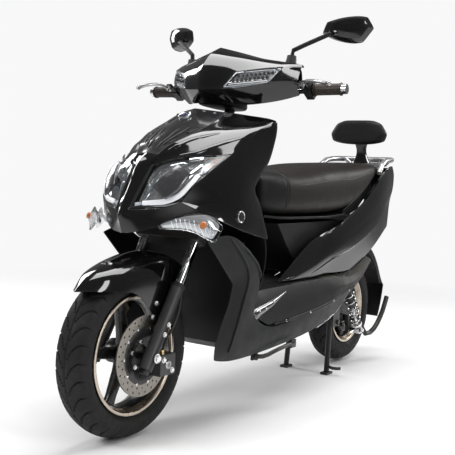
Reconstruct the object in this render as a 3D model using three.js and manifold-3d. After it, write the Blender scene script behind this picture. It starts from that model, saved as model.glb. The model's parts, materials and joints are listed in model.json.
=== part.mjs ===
// Electric moped scooter: step-through chassis, telescopic fork, hub-motor rear wheel on a
// swingarm, two-tier seat over a storage tub, backrest on the grab rail, centre and side stands.
// Millimetres. +X is the rider's left, -Y is the front, +Z is up, ground at z = 0.
import * as THREE from 'three';
import { mergeVertices } from 'three/addons/utils/BufferGeometryUtils.js';
import Module from 'manifold-3d';

const wasm = await Module();
wasm.setup();

// ---------- driving dimensions ----------
const FRONT_AXLE_Y = -679;
const WHEELBASE = 1316;
const REAR_AXLE_Y = FRONT_AXLE_Y + WHEELBASE;
const FRONT_TYRE = { outer: 233, seat: 163, half: 50 };
const REAR_TYRE = { outer: 205, seat: 128, half: 46 };
const FRONT_AXLE_Z = FRONT_TYRE.outer;
const REAR_LIFT = 6; // the rear tyre hangs this far above the ground on the centre stand
const REAR_AXLE_Z = REAR_TYRE.outer + REAR_LIFT;
const DISC_R = 110.5;
const DISC_X = 65;
const RAKE = THREE.MathUtils.degToRad(32);
const STEER_FOOT_Y = -638; // a point on the steering axis, level with the front axle
const STEER_FOOT_Z = 235;
const FORK_X = 92;
const FORK_OFFSET = -36;
const AXLE_R = 8;
const PANEL = 3; // moulded panel thickness
const SIDE_STAND_PIVOT = [150, -245, 176];
const STAND_PIVOT = [400, 196];
const STAND_FOOT = [384, 86];
const SWING_PIVOT = [372, 262];
const SHOCK_X = 104;
const SHOCK_TOP = [442, 384];
const SHOCK_FOOT = [602, 140];
const KEY_POINT = [62, -200.2, 821.5];

// ---------- solids, meshes and colours ----------
function toSolid(geometry) {
  let g = geometry.index ? geometry.toNonIndexed() : geometry.clone();
  g.deleteAttribute('normal');
  g.deleteAttribute('uv');
  g = mergeVertices(g, 1e-4);
  const vertProperties = new Float32Array(g.attributes.position.array);
  const triVerts = new Uint32Array(g.index.array);
  return new wasm.Manifold(new wasm.Mesh({ numProp: 3, vertProperties, triVerts }));
}

function fromSolid(solid) {
  const mesh = solid.getMesh();
  const g = new THREE.BufferGeometry();
  g.setAttribute('position', new THREE.BufferAttribute(new Float32Array(mesh.vertProperties), 3));
  g.setIndex(new THREE.BufferAttribute(new Uint32Array(mesh.triVerts), 1));
  g.computeVertexNormals();
  return g;
}

function join(...geometries) {
  return fromSolid(geometries.map(toSolid).reduce((a, b) => a.add(b)));
}

function cut(geometry, ...tools) {
  return fromSolid(tools.map(toSolid).reduce((a, b) => a.subtract(b), toSolid(geometry)));
}

function mirrored(geometry) {
  const g = geometry.clone();
  g.scale(-1, 1, 1);
  const index = g.index.array;
  for (let i = 0; i < index.length; i += 3) {
    [index[i], index[i + 1]] = [index[i + 1], index[i]];
  }
  g.computeVertexNormals();
  return g;
}

const FINISH = {
  gloss_black: [0x0b0b0c, 0.12, 0.0],
  matte_grey: [0x2b2c2e, 0.6, 0.0],
  satin_black: [0x141415, 0.42, 0.0],
  frame_black: [0x101011, 0.4, 0.3],
  rubber: [0x161616, 0.85, 0.0],
  tyre: [0x1a1a1b, 0.88, 0.0],
  leather_black: [0x141312, 0.55, 0.0],
  leather_brown: [0x2c221c, 0.55, 0.0],
  chrome: [0xd8d8d8, 0.1, 1.0],
  steel: [0x9a9a98, 0.3, 1.0],
  alloy: [0x55565a, 0.35, 0.8],
  silver: [0xb4b6b8, 0.35, 0.6],
  lens_clear: [0xdfe6ea, 0.05, 0.0],
  lens_red: [0x8a0d0d, 0.1, 0.0],
  grip_brown: [0x3a2a1e, 0.7, 0.0],
  cell_blue: [0x24364f, 0.5, 0.0],
};

const scooter = new THREE.Group();
function addPart(name, finish, geometry) {
  const [color, roughness, metalness] = FINISH[finish];
  const material = new THREE.MeshStandardMaterial({ color, roughness, metalness });
  const mesh = new THREE.Mesh(geometry, material);
  mesh.name = name;
  scooter.add(mesh);
  return mesh;
}

function addPair(stem, finish, leftGeometry) {
  addPart(`${stem}_left`, finish, leftGeometry);
  addPart(`${stem}_right`, finish, mirrored(leftGeometry));
}

// ---------- shape helpers ----------
const vec = (p) => new THREE.Vector3(...p);

// a point given across, behind and along the raked steering axis
function steer(x, back, up) {
  const y = STEER_FOOT_Y + back * Math.cos(RAKE) + up * Math.sin(RAKE);
  const z = STEER_FOOT_Z - back * Math.sin(RAKE) + up * Math.cos(RAKE);
  return [x, y, z];
}

function rod(a, b, radius, sides = 10) {
  const from = vec(a);
  const to = vec(b);
  const g = new THREE.CylinderGeometry(radius, radius, from.distanceTo(to), sides);
  const turn = new THREE.Quaternion().setFromUnitVectors(
    new THREE.Vector3(0, 1, 0), to.clone().sub(from).normalize());
  g.applyQuaternion(turn);
  g.translate(...from.add(to).multiplyScalar(0.5).toArray());
  return g;
}

function tube(points, radius, sides = 8, steps = 6) {
  const path = new THREE.CatmullRomCurve3(points.map(vec), false, 'centripetal');
  const section = new THREE.Shape();
  for (let i = 0; i < sides; i += 1) {
    const a = (i / sides) * 2 * Math.PI;
    section[i ? 'lineTo' : 'moveTo'](radius * Math.cos(a), radius * Math.sin(a));
  }
  section.closePath();
  const options = { steps: steps * (points.length - 1), bevelEnabled: false, extrudePath: path };
  return new THREE.ExtrudeGeometry(section, options);
}

function block(centre, size) {
  const g = new THREE.BoxGeometry(...size);
  g.translate(...centre);
  return g;
}

// a profile of [radius, x] points turned about a line parallel to X
function turnedX(profile, y, z, sides = 30) {
  const g = new THREE.LatheGeometry(profile.map(([r, x]) => new THREE.Vector2(r, x)), sides);
  g.rotateZ(-Math.PI / 2);
  g.translate(0, y, z);
  const s = toSolid(g);
  return s.volume() > 0 ? fromSolid(s) : flipped(g);
}

function flipped(geometry) {
  let g = geometry.clone();
  g.deleteAttribute('normal');
  g.deleteAttribute('uv');
  g = mergeVertices(g, 1e-4);
  const index = g.index.array;
  for (let i = 0; i < index.length; i += 3) {
    [index[i], index[i + 1]] = [index[i + 1], index[i]];
  }
  g.computeVertexNormals();
  return g;
}

function meshFrom(points, triangles) {
  const g = new THREE.BufferGeometry();
  g.setAttribute('position', new THREE.Float32BufferAttribute(points.flat(), 3));
  g.setIndex(triangles);
  const volume = triangles.reduce((sum, _, i) => {
    if (i % 3) return sum;
    const [a, b, c] = [0, 1, 2].map((k) => vec(points[triangles[i + k]]));
    return sum + a.dot(b.cross(c));
  }, 0);
  return volume > 0 ? finished(g) : flipped(g);
}

function finished(g) {
  g.computeVertexNormals();
  return g;
}

// closed solid through a run of rings that all have the same number of points
function loft(rings) {
  const n = rings[0].length;
  const points = rings.flat();
  const triangles = [];
  for (let k = 0; k + 1 < rings.length; k += 1) {
    for (let i = 0; i < n; i += 1) {
      const a = k * n + i;
      const b = k * n + ((i + 1) % n);
      triangles.push(a, b, a + n, b, b + n, a + n);
    }
  }
  for (const [start, reverse] of [[0, true], [(rings.length - 1) * n, false]]) {
    const ring = points.slice(start, start + n);
    const centre = [0, 1, 2].map((k) => ring.reduce((s, p) => s + p[k], 0) / n);
    points.push(centre);
    for (let i = 0; i < n; i += 1) {
      const j = (i + 1) % n;
      const pair = reverse ? [start + j, start + i] : [start + i, start + j];
      triangles.push(points.length - 1, ...pair);
    }
  }
  return meshFrom(points, triangles);
}

// rounded section across X and Z at one Y; power 2 is an ellipse, more is squarer
function sectionY(y, halfWidth, bottom, top, power = 3, sides = 16) {
  const ring = [];
  for (let i = 0; i < sides; i += 1) {
    const a = ((i + 0.5) / sides) * 2 * Math.PI;
    const round = (v) => Math.sign(v) * Math.abs(v) ** (2 / power);
    const x = halfWidth * round(Math.cos(a));
    const z = (top + bottom) / 2 + ((top - bottom) / 2) * round(Math.sin(a));
    ring.push([x, y, z]);
  }
  return ring;
}

// smooth points through a run of points, n steps a span; sharp stations keep their corner
function smoothRun(points, n, sharp = []) {
  const out = [];
  const blend = (p, q, k) => p.map((v, i) => v + (q[i] - v) * k);
  for (let i = 0; i + 1 < points.length; i += 1) {
    const p1 = points[i];
    const p2 = points[i + 1];
    const p0 = i === 0 || sharp.includes(i) ? blend(p1, p2, -1) : points[i - 1];
    const end = i + 2 === points.length || sharp.includes(i + 1);
    const p3 = end ? blend(p2, p1, -1) : points[i + 2];
    for (let s = 0; s < n; s += 1) {
      const t = s / n;
      out.push(p1.map((_, k) => 0.5 * (2 * p1[k] + (p2[k] - p0[k]) * t
        + (2 * p0[k] - 5 * p1[k] + 4 * p2[k] - p3[k]) * t * t
        + (3 * p1[k] - p0[k] - 3 * p2[k] + p3[k]) * t * t * t)));
    }
  }
  out.push(points[points.length - 1]);
  return out;
}

function refine(grid, n, sharpRows = [], sharpCols = []) {
  const wide = grid.map((row) => smoothRun(row, n, sharpCols));
  const columns = wide[0].map((_, c) => smoothRun(wide.map((row) => row[c]), n, sharpRows));
  return columns[0].map((_, r) => columns.map((column) => column[r]));
}

// a half grid whose first column lies on x = 0, doubled by its mirror image
function bothSides(grid) {
  const other = (row) => row.slice(1).reverse().map(([x, y, z]) => [-x, y, z]);
  return grid.map((row) => [...other(row), ...row]);
}

// the direction out of a grid's surface at each of its points, away from a hidden point
function gridNormals(grid, inside) {
  const normals = grid.map((row) => row.map(() => new THREE.Vector3()));
  const hidden = vec(inside);
  let facing = 0;
  for (let r = 0; r + 1 < grid.length; r += 1) {
    for (let c = 0; c + 1 < grid[0].length; c += 1) {
      const corners = [[r, c], [r, c + 1], [r + 1, c + 1], [r + 1, c]];
      const [a, b, d, e] = corners.map(([i, j]) => vec(grid[i][j]));
      const n = d.clone().sub(a).cross(e.clone().sub(b));
      facing += n.dot(a.clone().add(d).multiplyScalar(0.5).sub(hidden));
      corners.forEach(([i, j]) => normals[i][j].add(n));
    }
  }
  return normals.map((row) => row.map((n) => n.normalize().multiplyScalar(Math.sign(facing))));
}

// moulded panel: a grid of points made into a closed skin of even thickness.
// keep(r, c) says which cells exist
function panel(grid, normals, thickness = PANEL, keep = () => true) {
  const rows = grid.length - 1;
  const cols = grid[0].length - 1;
  const live = (r, c) => r >= 0 && c >= 0 && r < rows && c < cols && keep(r, c);
  const points = [];
  const id = new Map();
  const vertex = (r, c, layer) => {
    const key = `${r},${c},${layer}`;
    if (!id.has(key)) {
      id.set(key, points.length);
      points.push(vec(grid[r][c]).addScaledVector(normals[r][c], -thickness * layer).toArray());
    }
    return id.get(key);
  };
  const triangles = [];
  const quad = (a, b, c, d) => triangles.push(a, b, c, a, c, d);
  for (let r = 0; r < rows; r += 1) {
    for (let c = 0; c < cols; c += 1) {
      if (!live(r, c)) continue;
      const at = (i, j, layer) => vertex(r + i, c + j, layer);
      quad(at(0, 0, 0), at(0, 1, 0), at(1, 1, 0), at(1, 0, 0));
      quad(at(1, 0, 1), at(1, 1, 1), at(0, 1, 1), at(0, 0, 1));
      if (!live(r - 1, c)) quad(at(0, 1, 0), at(0, 0, 0), at(0, 0, 1), at(0, 1, 1));
      if (!live(r + 1, c)) quad(at(1, 0, 0), at(1, 1, 0), at(1, 1, 1), at(1, 0, 1));
      if (!live(r, c - 1)) quad(at(0, 0, 0), at(1, 0, 0), at(1, 0, 1), at(0, 0, 1));
      if (!live(r, c + 1)) quad(at(1, 1, 0), at(0, 1, 0), at(0, 1, 1), at(1, 1, 1));
    }
  }
  return meshFrom(points, triangles);
}

const wholePanel = (grid, inside, thickness) => panel(grid, gridNormals(grid, inside), thickness);

// the part of a grid between two corners as a panel of its own, drawn in from its border
function insetPanel(grid, normals, [r0, c0], [r1, c1], thickness = PANEL, border = 0.8) {
  const crop = (table) => table.slice(r0, r1 + 1).map((row) => row.slice(c0, c1 + 1));
  const towards = (p, q) => vec(p).addScaledVector(vec(q).sub(vec(p)).normalize(), border).toArray();
  const drawIn = (line) => line.map((p, i) => {
    if (i === 0) return towards(p, line[1]);
    return i === line.length - 1 ? towards(p, line[i - 1]) : p;
  });
  const narrow = crop(grid).map(drawIn);
  const columns = narrow[0].map((_, c) => drawIn(narrow.map((row) => row[c])));
  return panel(narrow.map((row, r) => row.map((_, c) => columns[c][r])), crop(normals), thickness);
}

// ---------- front bodywork ----------
// half of the nose, chin to neck (rows) and centre ridge to rear edge (columns)
const NOSE = [
  [[0, -706, 561], [48, -694, 568], [92, -662, 584], [136, -626, 604], [192, -562, 616],
    [208, -430, 572], [200, -281, 541]],
  [[0, -726, 608], [20, -707, 625], [60, -683, 629], [105, -655, 634], [138, -632, 652],
    [204, -455, 630], [200, -314, 615]],
  [[0, -690, 678], [24, -668, 687], [70, -648, 698], [120, -612, 706], [164, -580, 716],
    [203, -440, 704], [200, -365, 697]],
  [[0, -654, 749], [29, -624, 750], [80, -587, 770], [130, -538, 777], [180, -451, 788],
    [197, -366, 780], [200, -293, 771]],
  [[0, -563, 816], [50, -586, 802], [96, -534, 808], [138, -478, 818], [172, -405, 828],
    [191, -330, 832], [201, -262, 835]],
  [[0, -460, 887], [85, -478, 850], [114, -438, 858], [141, -392, 864], [167, -340, 869],
    [186, -294, 872], [201, -253, 868]],
  [[0, -392, 921], [88, -345, 912], [104, -306, 910], [123, -272, 907], [147, -251, 904],
    [173, -249, 900], [200, -258, 893]],
];
const FINE = 2; // panel grids carry this many steps per drawn span
const noseGrid = bothSides(refine(NOSE, FINE, [1, 3], [1, 4]));
const CENTRE = 6 * FINE;
const lampRows = [1 * FINE, 3 * FINE];
const lampCols = [CENTRE + 1 * FINE, CENTRE + 4 * FINE];
const beakRow = 3 * FINE + 1; // clear of the inner corners of the lamps
const beakHalf = 1 * FINE;

function inLamp(r, c) {
  const out = c >= CENTRE ? c : 2 * CENTRE - 1 - c;
  return r >= lampRows[0] && r < lampRows[1] && out >= lampCols[0] && out < lampCols[1];
}

function inBeak(r, c) {
  return r >= beakRow && c >= CENTRE - beakHalf && c < CENTRE + beakHalf;
}

const noseNormals = gridNormals(noseGrid, [0, -420, 700]);
addPart('front_cowl', 'gloss_black',
  panel(noseGrid, noseNormals, PANEL, (r, c) => !inLamp(r, c) && !inBeak(r, c)));
addPart('nose_panel', 'gloss_black', insetPanel(noseGrid, noseNormals,
  [beakRow, CENTRE - beakHalf], [6 * FINE, CENTRE + beakHalf]));
addPair('headlight', 'lens_clear', insetPanel(noseGrid, noseNormals,
  [lampRows[0], lampCols[0]], [lampRows[1], lampCols[1]]));

// wrap-round indicator below the chin, inner tip to outer corner
const INDICATOR = [
  [[102, -680, 588], [136, -656, 606], [166, -630, 617], [206, -592, 621], [232, -566, 592]],
  [[104, -680, 583], [140, -654, 592], [176, -628, 592], [214, -604, 588], [235, -574, 580]],
  [[106, -676, 578], [142, -644, 579], [172, -618, 573], [202, -602, 557], [224, -590, 548]],
];
addPair('turn_signal', 'lens_clear', wholePanel(refine(INDICATOR, FINE), [160, -480, 600], 4));

// deck over the neck, then the rear face of the leg shield down to the floor
const SHIELD = [
  [[0, -384, 912], [36, -370, 910], [132, -248, 895], [192, -250, 887]],
  [[0, -255, 907], [36, -254, 906], [132, -229, 896], [192.5, -247.5, 886.5]],
  [[0, -182, 903], [36, -185, 903], [132, -210, 897], [193, -245, 886]],
  [[0, -188, 850], [70, -193, 850], [140, -214, 850], [194, -247, 850]],
  [[0, -215, 770], [70, -220, 770], [140, -245, 770], [194, -286, 770]],
  [[0, -255, 697], [70, -262, 697], [140, -300, 697], [194, -356, 696]],
  [[0, -268, 640], [70, -272, 640], [140, -298, 642], [194, -330, 645]],
  [[0, -272, 540], [70, -273, 540], [140, -274, 540], [194, -272, 541]],
  [[0, -268, 470], [70, -268, 470], [140, -267, 470], [193, -261, 473]],
  [[0, -262, 394], [70, -262, 394], [140, -266, 394], [188, -286, 394]],
];
const shieldGrid = bothSides(SHIELD);
// the steering stem passes through the two middle cells of the deck
const offStem = (r, c) => r !== 1 || c < 2 || c > 3;
addPart('leg_shield', 'satin_black',
  panel(shieldGrid, gridNormals(shieldGrid, [0, -520, 650]), PANEL, offStem));

// matte side skirt: a chevron round the wheel arch that runs back under the footboard
const SKIRT = [
  [[188, -571, 546], [197, -505, 562], [200, -455, 556], [199, -402, 530]],
  [[188, -512, 491], [203, -445, 508], [203, -395, 512], [199, -348, 497]],
  [[188, -437, 421], [203, -380, 448], [202, -340, 450], [197, -302, 441]],
  [[186, -451, 359], [200, -393, 365], [199, -350, 368], [195, -308, 372]],
  [[184, -486, 298], [197, -425, 295], [196, -370, 305], [191, -322, 318]],
  [[180, -504, 208], [193, -440, 228], [196, -340, 258], [189, -235, 270]],
  [[170, -330, 188], [184, -290, 206], [190, -205, 236], [188, -122, 270]],
  [[160, -60, 195], [174, -40, 214], [184, -20, 246], [189, 0, 275]],
  [[154, 150, 212], [168, 152, 232], [180, 154, 262], [190, 158, 292]],
  [[148, 310, 250], [160, 314, 266], [170, 318, 292], [182, 322, 321]],
  [[145, 394, 300], [152, 400, 308], [160, 408, 322], [173, 418, 338]],
  [[140, 486, 352], [145, 490, 357], [151, 496, 363], [158, 506, 370]],
  [[137, 574, 402], [139, 576, 405], [141, 580, 408], [143, 586, 411]],
];
addPair('side_skirt', 'matte_grey', wholePanel(refine(SKIRT, FINE, [2], [1]), [0, -100, 330]));

// ---------- footboard and rear bodywork ----------
const FLOOR = [
  [[0, -254, 388], [70, -254, 388], [128, -256, 388], [160, -268, 380], [178, -290, 348],
    [187, -318, 316]],
  [[0, -190, 388], [70, -190, 388], [128, -190, 388], [162, -196, 382], [181, -210, 336],
    [189, -232, 277]],
  [[0, -80, 388], [70, -80, 388], [128, -80, 388], [166, -80, 382], [184, -80, 334],
    [190, -80, 276]],
  [[0, 40, 388], [70, 40, 388], [108, 50, 388], [172, 60, 382], [187, 60, 336], [192, 60, 284]],
  [[0, 80, 388], [70, 80, 388], [108, 180, 388], [174, 184, 380], [189, 184, 342],
    [191, 184, 300]],
  [[0, 90, 388], [70, 90, 388], [108, 290, 386], [172, 300, 377], [186, 300, 350],
    [184, 300, 321]],
  [[0, 95, 388], [70, 95, 388], [136, 362, 384], [166, 380, 374], [180, 384, 356],
    [178, 388, 335]],
  [[0, 100, 388], [70, 100, 388], [134, 470, 392], [154, 478, 384], [167, 484, 374],
    [165, 486, 364]],
  [[0, 105, 388], [70, 105, 388], [128, 590, 432], [137, 594, 427], [146, 598, 421],
    [146, 600, 414]],
];
const floorGrid = bothSides(FLOOR);
const FLOOR_CENTRE = 5;
function onFloor(r, c) {
  const out = c >= FLOOR_CENTRE ? c - FLOOR_CENTRE : FLOOR_CENTRE - 1 - c;
  return r < 3 || out >= 2;
}
addPart('floorboard', 'satin_black',
  panel(floorGrid, gridNormals(floorGrid, [0, 100, 250]), PANEL, onFloor));

// strut and blade of the rear body: stations front to rear, seat edge down to the step
const BLADE = [
  [[138, -100, 393], [145, -86, 393], [148, -72, 393], [149, -58, 393], [149, -44, 393],
    [149, -30, 393]],
  [[138, 55, 480], [149, 78, 440], [152, 90, 422], [152, 100, 408], [150, 110, 399],
    [150, 120, 393]],
  [[140, 136, 519], [152, 164, 480], [160, 186, 462], [162, 217, 447], [150, 227, 435],
    [143, 235, 394]],
  [[141, 272, 553], [152, 291, 556], [166, 300, 512], [166, 322, 468], [149, 332, 453],
    [141, 342, 391]],
  [[134, 395, 589], [150, 398, 604], [165, 410, 548], [165, 425, 489], [147, 432, 474],
    [139, 440, 394]],
  [[131, 530, 638], [146, 533, 650], [160, 538, 594], [160, 543, 526], [141, 547, 510],
    [133, 548, 424]],
  [[124, 638, 706], [138, 645, 714], [150, 650, 648], [150, 650, 563], [131, 655, 546],
    [124, 660, 462]],
  [[112, 742, 752], [125, 747, 758], [134, 752, 712], [132, 756, 630], [115, 762, 608],
    [110, 768, 505]],
  [[90, 862, 782], [101, 864, 784], [110, 866, 748], [107, 868, 690], [92, 874, 640],
    [84, 880, 535]],
];
addPair('side_panel', 'gloss_black',
  wholePanel(refine(BLADE, FINE, [], [1, 3, 4]), [0, 400, 500]));

// under-seat tub, open at the top, its front wall sloping under the seat nose
function storageTub() {
  const wall = (inset, bottom, top) => {
    const rear = 420 - inset;
    const x = 104 - inset;
    const ring = (z) => {
      const front = 96 - ((z - 404) / 170) * 150 + inset;
      return [[-x, front, z], [x, front, z], [x, rear, z], [-x, rear, z]];
    };
    return loft([ring(bottom), ring(top)]);
  };
  return cut(wall(0, 404, 574), wall(4, 409, 580));
}
addPart('storage_tub', 'satin_black', storageTub());

// inner rear mudguard with the plate bracket
const MUDGUARD = [-50, -30, -10, 10, 30, 50, 68].map((deg) => {
  const a = THREE.MathUtils.degToRad(deg);
  const at = (x, r) => [x, REAR_AXLE_Y + r * 0.93 * Math.sin(a), REAR_AXLE_Z + r * Math.cos(a)];
  return [at(0, 292), at(40, 289), at(70, 278), at(76, 246)];
});
const PLATE = [[907, 290], [890, 215], [862, 158]].map(([y, z]) => (
  [[0, y, z], [40, y, z], [70, y - 3, z], [76, y - 12, z]]));
addPart('rear_fender', 'satin_black',
  wholePanel(bothSides([...MUDGUARD, ...PLATE]), [0, REAR_AXLE_Y, REAR_AXLE_Z]));

const TAIL = [
  [[0, 896, 776], [40, 894, 776], [84, 870, 776]],
  [[0, 908.5, 740], [44, 905, 740], [94, 872, 742]],
  [[0, 908.5, 690], [42, 905, 690], [92, 870, 696]],
  [[0, 896, 640], [38, 892, 640], [80, 866, 650]],
];
addPart('tail_light', 'lens_red', wholePanel(bothSides(refine(TAIL, FINE)), [0, 700, 700], 4));

// tray under the battery that turns up behind the front wheel as an inner liner
const BELLY = [
  [[0, -371, 540], [90, -371, 540], [178, -372, 536]],
  [[0, -376, 420], [92, -378, 420], [184, -382, 420]],
  [[0, -372, 300], [90, -374, 300], [180, -380, 300]],
  [[0, -346, 222], [84, -346, 222], [160, -350, 226]],
  [[0, -290, 194], [70, -290, 194], [140, -290, 202]],
  [[0, -60, 188], [66, -60, 188], [128, -60, 198]],
  [[0, 180, 192], [66, 180, 192], [128, 180, 204]],
  [[0, 340, 196], [50, 340, 196], [84, 340, 200]],
];
addPart('belly_pan', 'matte_grey', wholePanel(bothSides(BELLY), [0, 0, 400]));

// ---------- frame, battery and controller ----------
function mainFrame() {
  const head = rod(steer(0, 0, 366), steer(0, 0, 556), 27, 20);
  const bore = rod(steer(0, 0, 360), steer(0, 0, 562), 17, 16);
  const down = tube([steer(0, 0, 470), [0, -334, 540], [0, -318, 420], [0, -316, 320],
    [0, -290, 246], [0, -250, 232]], 21, 8, 2);
  const pieces = [head, down, rod([-116, -262, 232], [116, -262, 232], 15, 10)];
  for (const s of [-1, 1]) {
    pieces.push(tube([[s * 112, -262, 232], [s * 116, 300, 232], [s * 118, 356, 268],
      [s * 119, 388, 384], [s * 119, 470, 530], [s * 114, 600, 606], [s * 96, 790, 690]], 10, 6, 2));
    pieces.push(block([s * 110, 388, 232], [9, 52, 100]));
    pieces.push(block([s * 121, 416, SHOCK_TOP[1]], [7, 76, 26]));
    pieces.push(rod([s * 122, ...SHOCK_TOP], [s * 88, ...SHOCK_TOP], 6));
  }
  pieces.push(rod([-112, 610, 610], [112, 610, 610], 8));
  pieces.push(rod([-118, 330, 250], [118, 330, 250], 10));
  pieces.push(rod([-112, ...SWING_PIVOT], [112, ...SWING_PIVOT], 7));
  const [sx, sy, sz] = SIDE_STAND_PIVOT;
  pieces.push(rod([112, sy, 230], [sx - 2, sy, 222], 8, 10));
  pieces.push(block([sx, sy, (sz + 222) / 2], [8, 22, 222 - sz + 22]));
  const holes = [
    rod([-140, ...STAND_PIVOT], [140, ...STAND_PIVOT], 9.8, 16),
    rod([sx - 9, sy, sz], [sx + 9, sy, sz], 4.8, 12),
  ];
  return cut(join(...pieces), bore, ...holes);
}
addPart('main_frame', 'frame_black', mainFrame());
addPart('battery_pack', 'cell_blue', block([0, -60, 300], [186, 350, 116]));

// ---------- tail furniture ----------
function grabRail() {
  const side = [[134, 660, 752], [130, 700, 792], [120, 790, 806], [96, 850, 808]];
  const loop = tube([...side, [0, 868, 808], ...side.map(([x, y, z]) => [-x, y, z]).reverse()],
    11, 8, 2);
  const base = loft([sectionY(762, 82, 768, 784, 8), sectionY(872, 74, 780, 796, 8)]);
  const arms = [-1, 1].map((s) => rod([s * 76, 840, 788], [s * 100, 838, 808], 9));
  return join(loop, base, ...arms);
}
addPart('grab_rail', 'silver', grabRail());
addPart('backrest_post', 'gloss_black', loft([
  [[-34, 768, 788.5], [34, 768, 788.5], [34, 800, 792], [-34, 800, 792]],
  [[-20, 770, 822], [20, 770, 822], [20, 788, 822], [-20, 788, 822]],
  [[-17, 766, 850], [17, 766, 850], [17, 782, 850], [-17, 782, 850]],
  [[-34, 761, 884], [34, 761, 884], [34, 773, 884], [-34, 773, 884]],
  [[-36, 759, 930], [36, 759, 930], [36, 769, 930], [-36, 769, 930]],
]));
function backrestPad() {
  const outline = (k, y) => [[-62, 864], [62, 864], [112, 878], [122, 908], [96, 948], [60, 962],
    [-60, 962], [-96, 948], [-122, 908], [-112, 878]].map(([x, z]) => [x * k, y, 912 + (z - 912) * k]);
  return loft([outline(0.9, 757), outline(1, 750), outline(1, 734), outline(0.86, 724)]);
}
addPart('backrest_pad', 'leather_black', backrestPad());

// ---------- seat ----------
const SEAT_FRONT = [[-152, 84, 640, 724], [-134, 104, 612, 739], [-90, 122, 604, 746],
  [-46, 134, 601, 746]];
const SEAT_REAR = [[-45.4, 134.5, 601, 746.5], [20, 143, 599, 747], [100, 151, 597, 755],
  [190, 156, 597, 770], [280, 157, 597, 778], [400, 152, 604, 782], [520, 144, 650, 786],
  [630, 128, 712, 789], [700, 106, 742, 790], [744, 70, 762, 788]];
const seatBlock = (stations) => loft(
  stations.map(([y, w, lo, hi]) => sectionY(y, w, lo, hi, 3.4, 20)));
addPart('seat_front_cushion', 'leather_black', seatBlock(SEAT_FRONT));
addPart('seat_rear_cushion', 'leather_brown', seatBlock(SEAT_REAR));
const SEAT_PAN = [[-120, 90, 596], [-60, 108, 590], [0, 118, 588], [258, 128, 586], [400, 126, 592]];
addPart('seat_base', 'satin_black', loft(
  SEAT_PAN.map(([y, w, z]) => [[-w, y, z], [w, y, z], [w, y, z + 8], [-w, y, z + 8]])));

// ---------- steering, handlebar and its covers ----------
function forkYoke() {
  const stem = rod(steer(0, 0, 330), steer(0, 0, 868), 15.5, 16);
  const clamp = loft([330, 356].map((up) => [
    steer(-112, -58, up), steer(112, -58, up), steer(112, -14, up), steer(30, 24, up),
    steer(-30, 24, up), steer(-112, -14, up)]));
  const tubes = [-1, 1].map((s) => rod(
    steer(s * FORK_X, FORK_OFFSET, 66), steer(s * FORK_X, FORK_OFFSET, 350), 14, 16));
  return join(stem, clamp, ...tubes);
}
addPart('fork_yoke', 'chrome', forkYoke());

// tapered shroud round the stem between the covers and the neck deck
const SHROUD = [[-322, 38, 937, 952], [-300, 58, 934, 957], [-240, 60, 929, 960],
  [-186, 54, 926, 960], [-167, 40, 927, 956]];
addPart('steering_shroud', 'satin_black', cut(
  loft(SHROUD.map(([y, w, lo, hi]) => sectionY(y, w, lo, hi, 4, 12))),
  rod(steer(0, 0, 700), steer(0, 0, 900), 17.5, 16)));

const GRIP_ROOT = steer(226, 15, 904);
const GRIP_TIP = steer(352, 22, 911);
const along = (from, to, k) => from.map((v, i) => v + (to[i] - v) * k);
const mirrorPoint = ([x, y, z]) => [-x, y, z];
function handlebar() {
  const bend = [steer(0, 0, 884), steer(70, 0, 884), steer(120, 4, 888), steer(170, 11, 899),
    GRIP_ROOT, along(GRIP_ROOT, GRIP_TIP, 0.1)];
  const middle = tube([...bend.slice(1).map(mirrorPoint).reverse(), ...bend], 11, 8, 2);
  const ends = [];
  for (const turn of [(p) => p, mirrorPoint]) {
    ends.push(rod(turn(GRIP_ROOT), turn(GRIP_TIP), 11));
    ends.push(rod(turn(GRIP_TIP), turn(along(GRIP_ROOT, GRIP_TIP, 1.12)), 15, 14));
  }
  const clamp = rod(steer(0, 0, 869), steer(0, 0, 898), 19, 16);
  return join(middle, clamp, ...ends);
}
addPart('handlebar', 'chrome', handlebar());

function gripSleeve(radius) {
  const from = along(GRIP_ROOT, GRIP_TIP, 0.3);
  const to = along(GRIP_ROOT, GRIP_TIP, 0.985);
  return cut(rod(from, to, radius, 16), rod(GRIP_ROOT, along(GRIP_ROOT, GRIP_TIP, 1.1), 12));
}
addPart('grip_left', 'grip_brown', gripSleeve(17));
addPart('throttle_grip', 'grip_brown', mirrored(gripSleeve(17)));

const LEVER_PIVOT = [248, -34];
function switchPod() {
  const [px, pb] = LEVER_PIVOT;
  const body = loft([236, 260].map((x) => [[-20, -20], [22, -20], [27, 2], [20, 24], [-18, 24],
    [-24, 2]].map(([back, up]) => steer(x, 16 + back, 905 + up))));
  const lug = loft([888, 894].map((up) => [steer(px - 12, 0, up), steer(px + 12, 0, up),
    steer(px + 9, pb - 9, up), steer(px - 9, pb - 9, up)]));
  const pin = rod(steer(px, pb, 874), steer(px, pb, 892), 3);
  const bar = rod(steer(200, 13.6, 902.6), along(GRIP_ROOT, GRIP_TIP, 1.1), 12);
  return cut(join(body, lug, pin), bar);
}
const BUTTON_X = -248;
const buttonAt = (from, to, r) => rod(steer(BUTTON_X, from, 911), steer(BUTTON_X, to, 911), r, 12);
addPart('switch_pod_left', 'satin_black', switchPod());
addPart('switch_pod_right', 'satin_black', cut(mirrored(switchPod()), buttonAt(31, 48, 5.8)));
addPart('start_button', 'lens_red', buttonAt(34, 42, 5.2));

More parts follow.
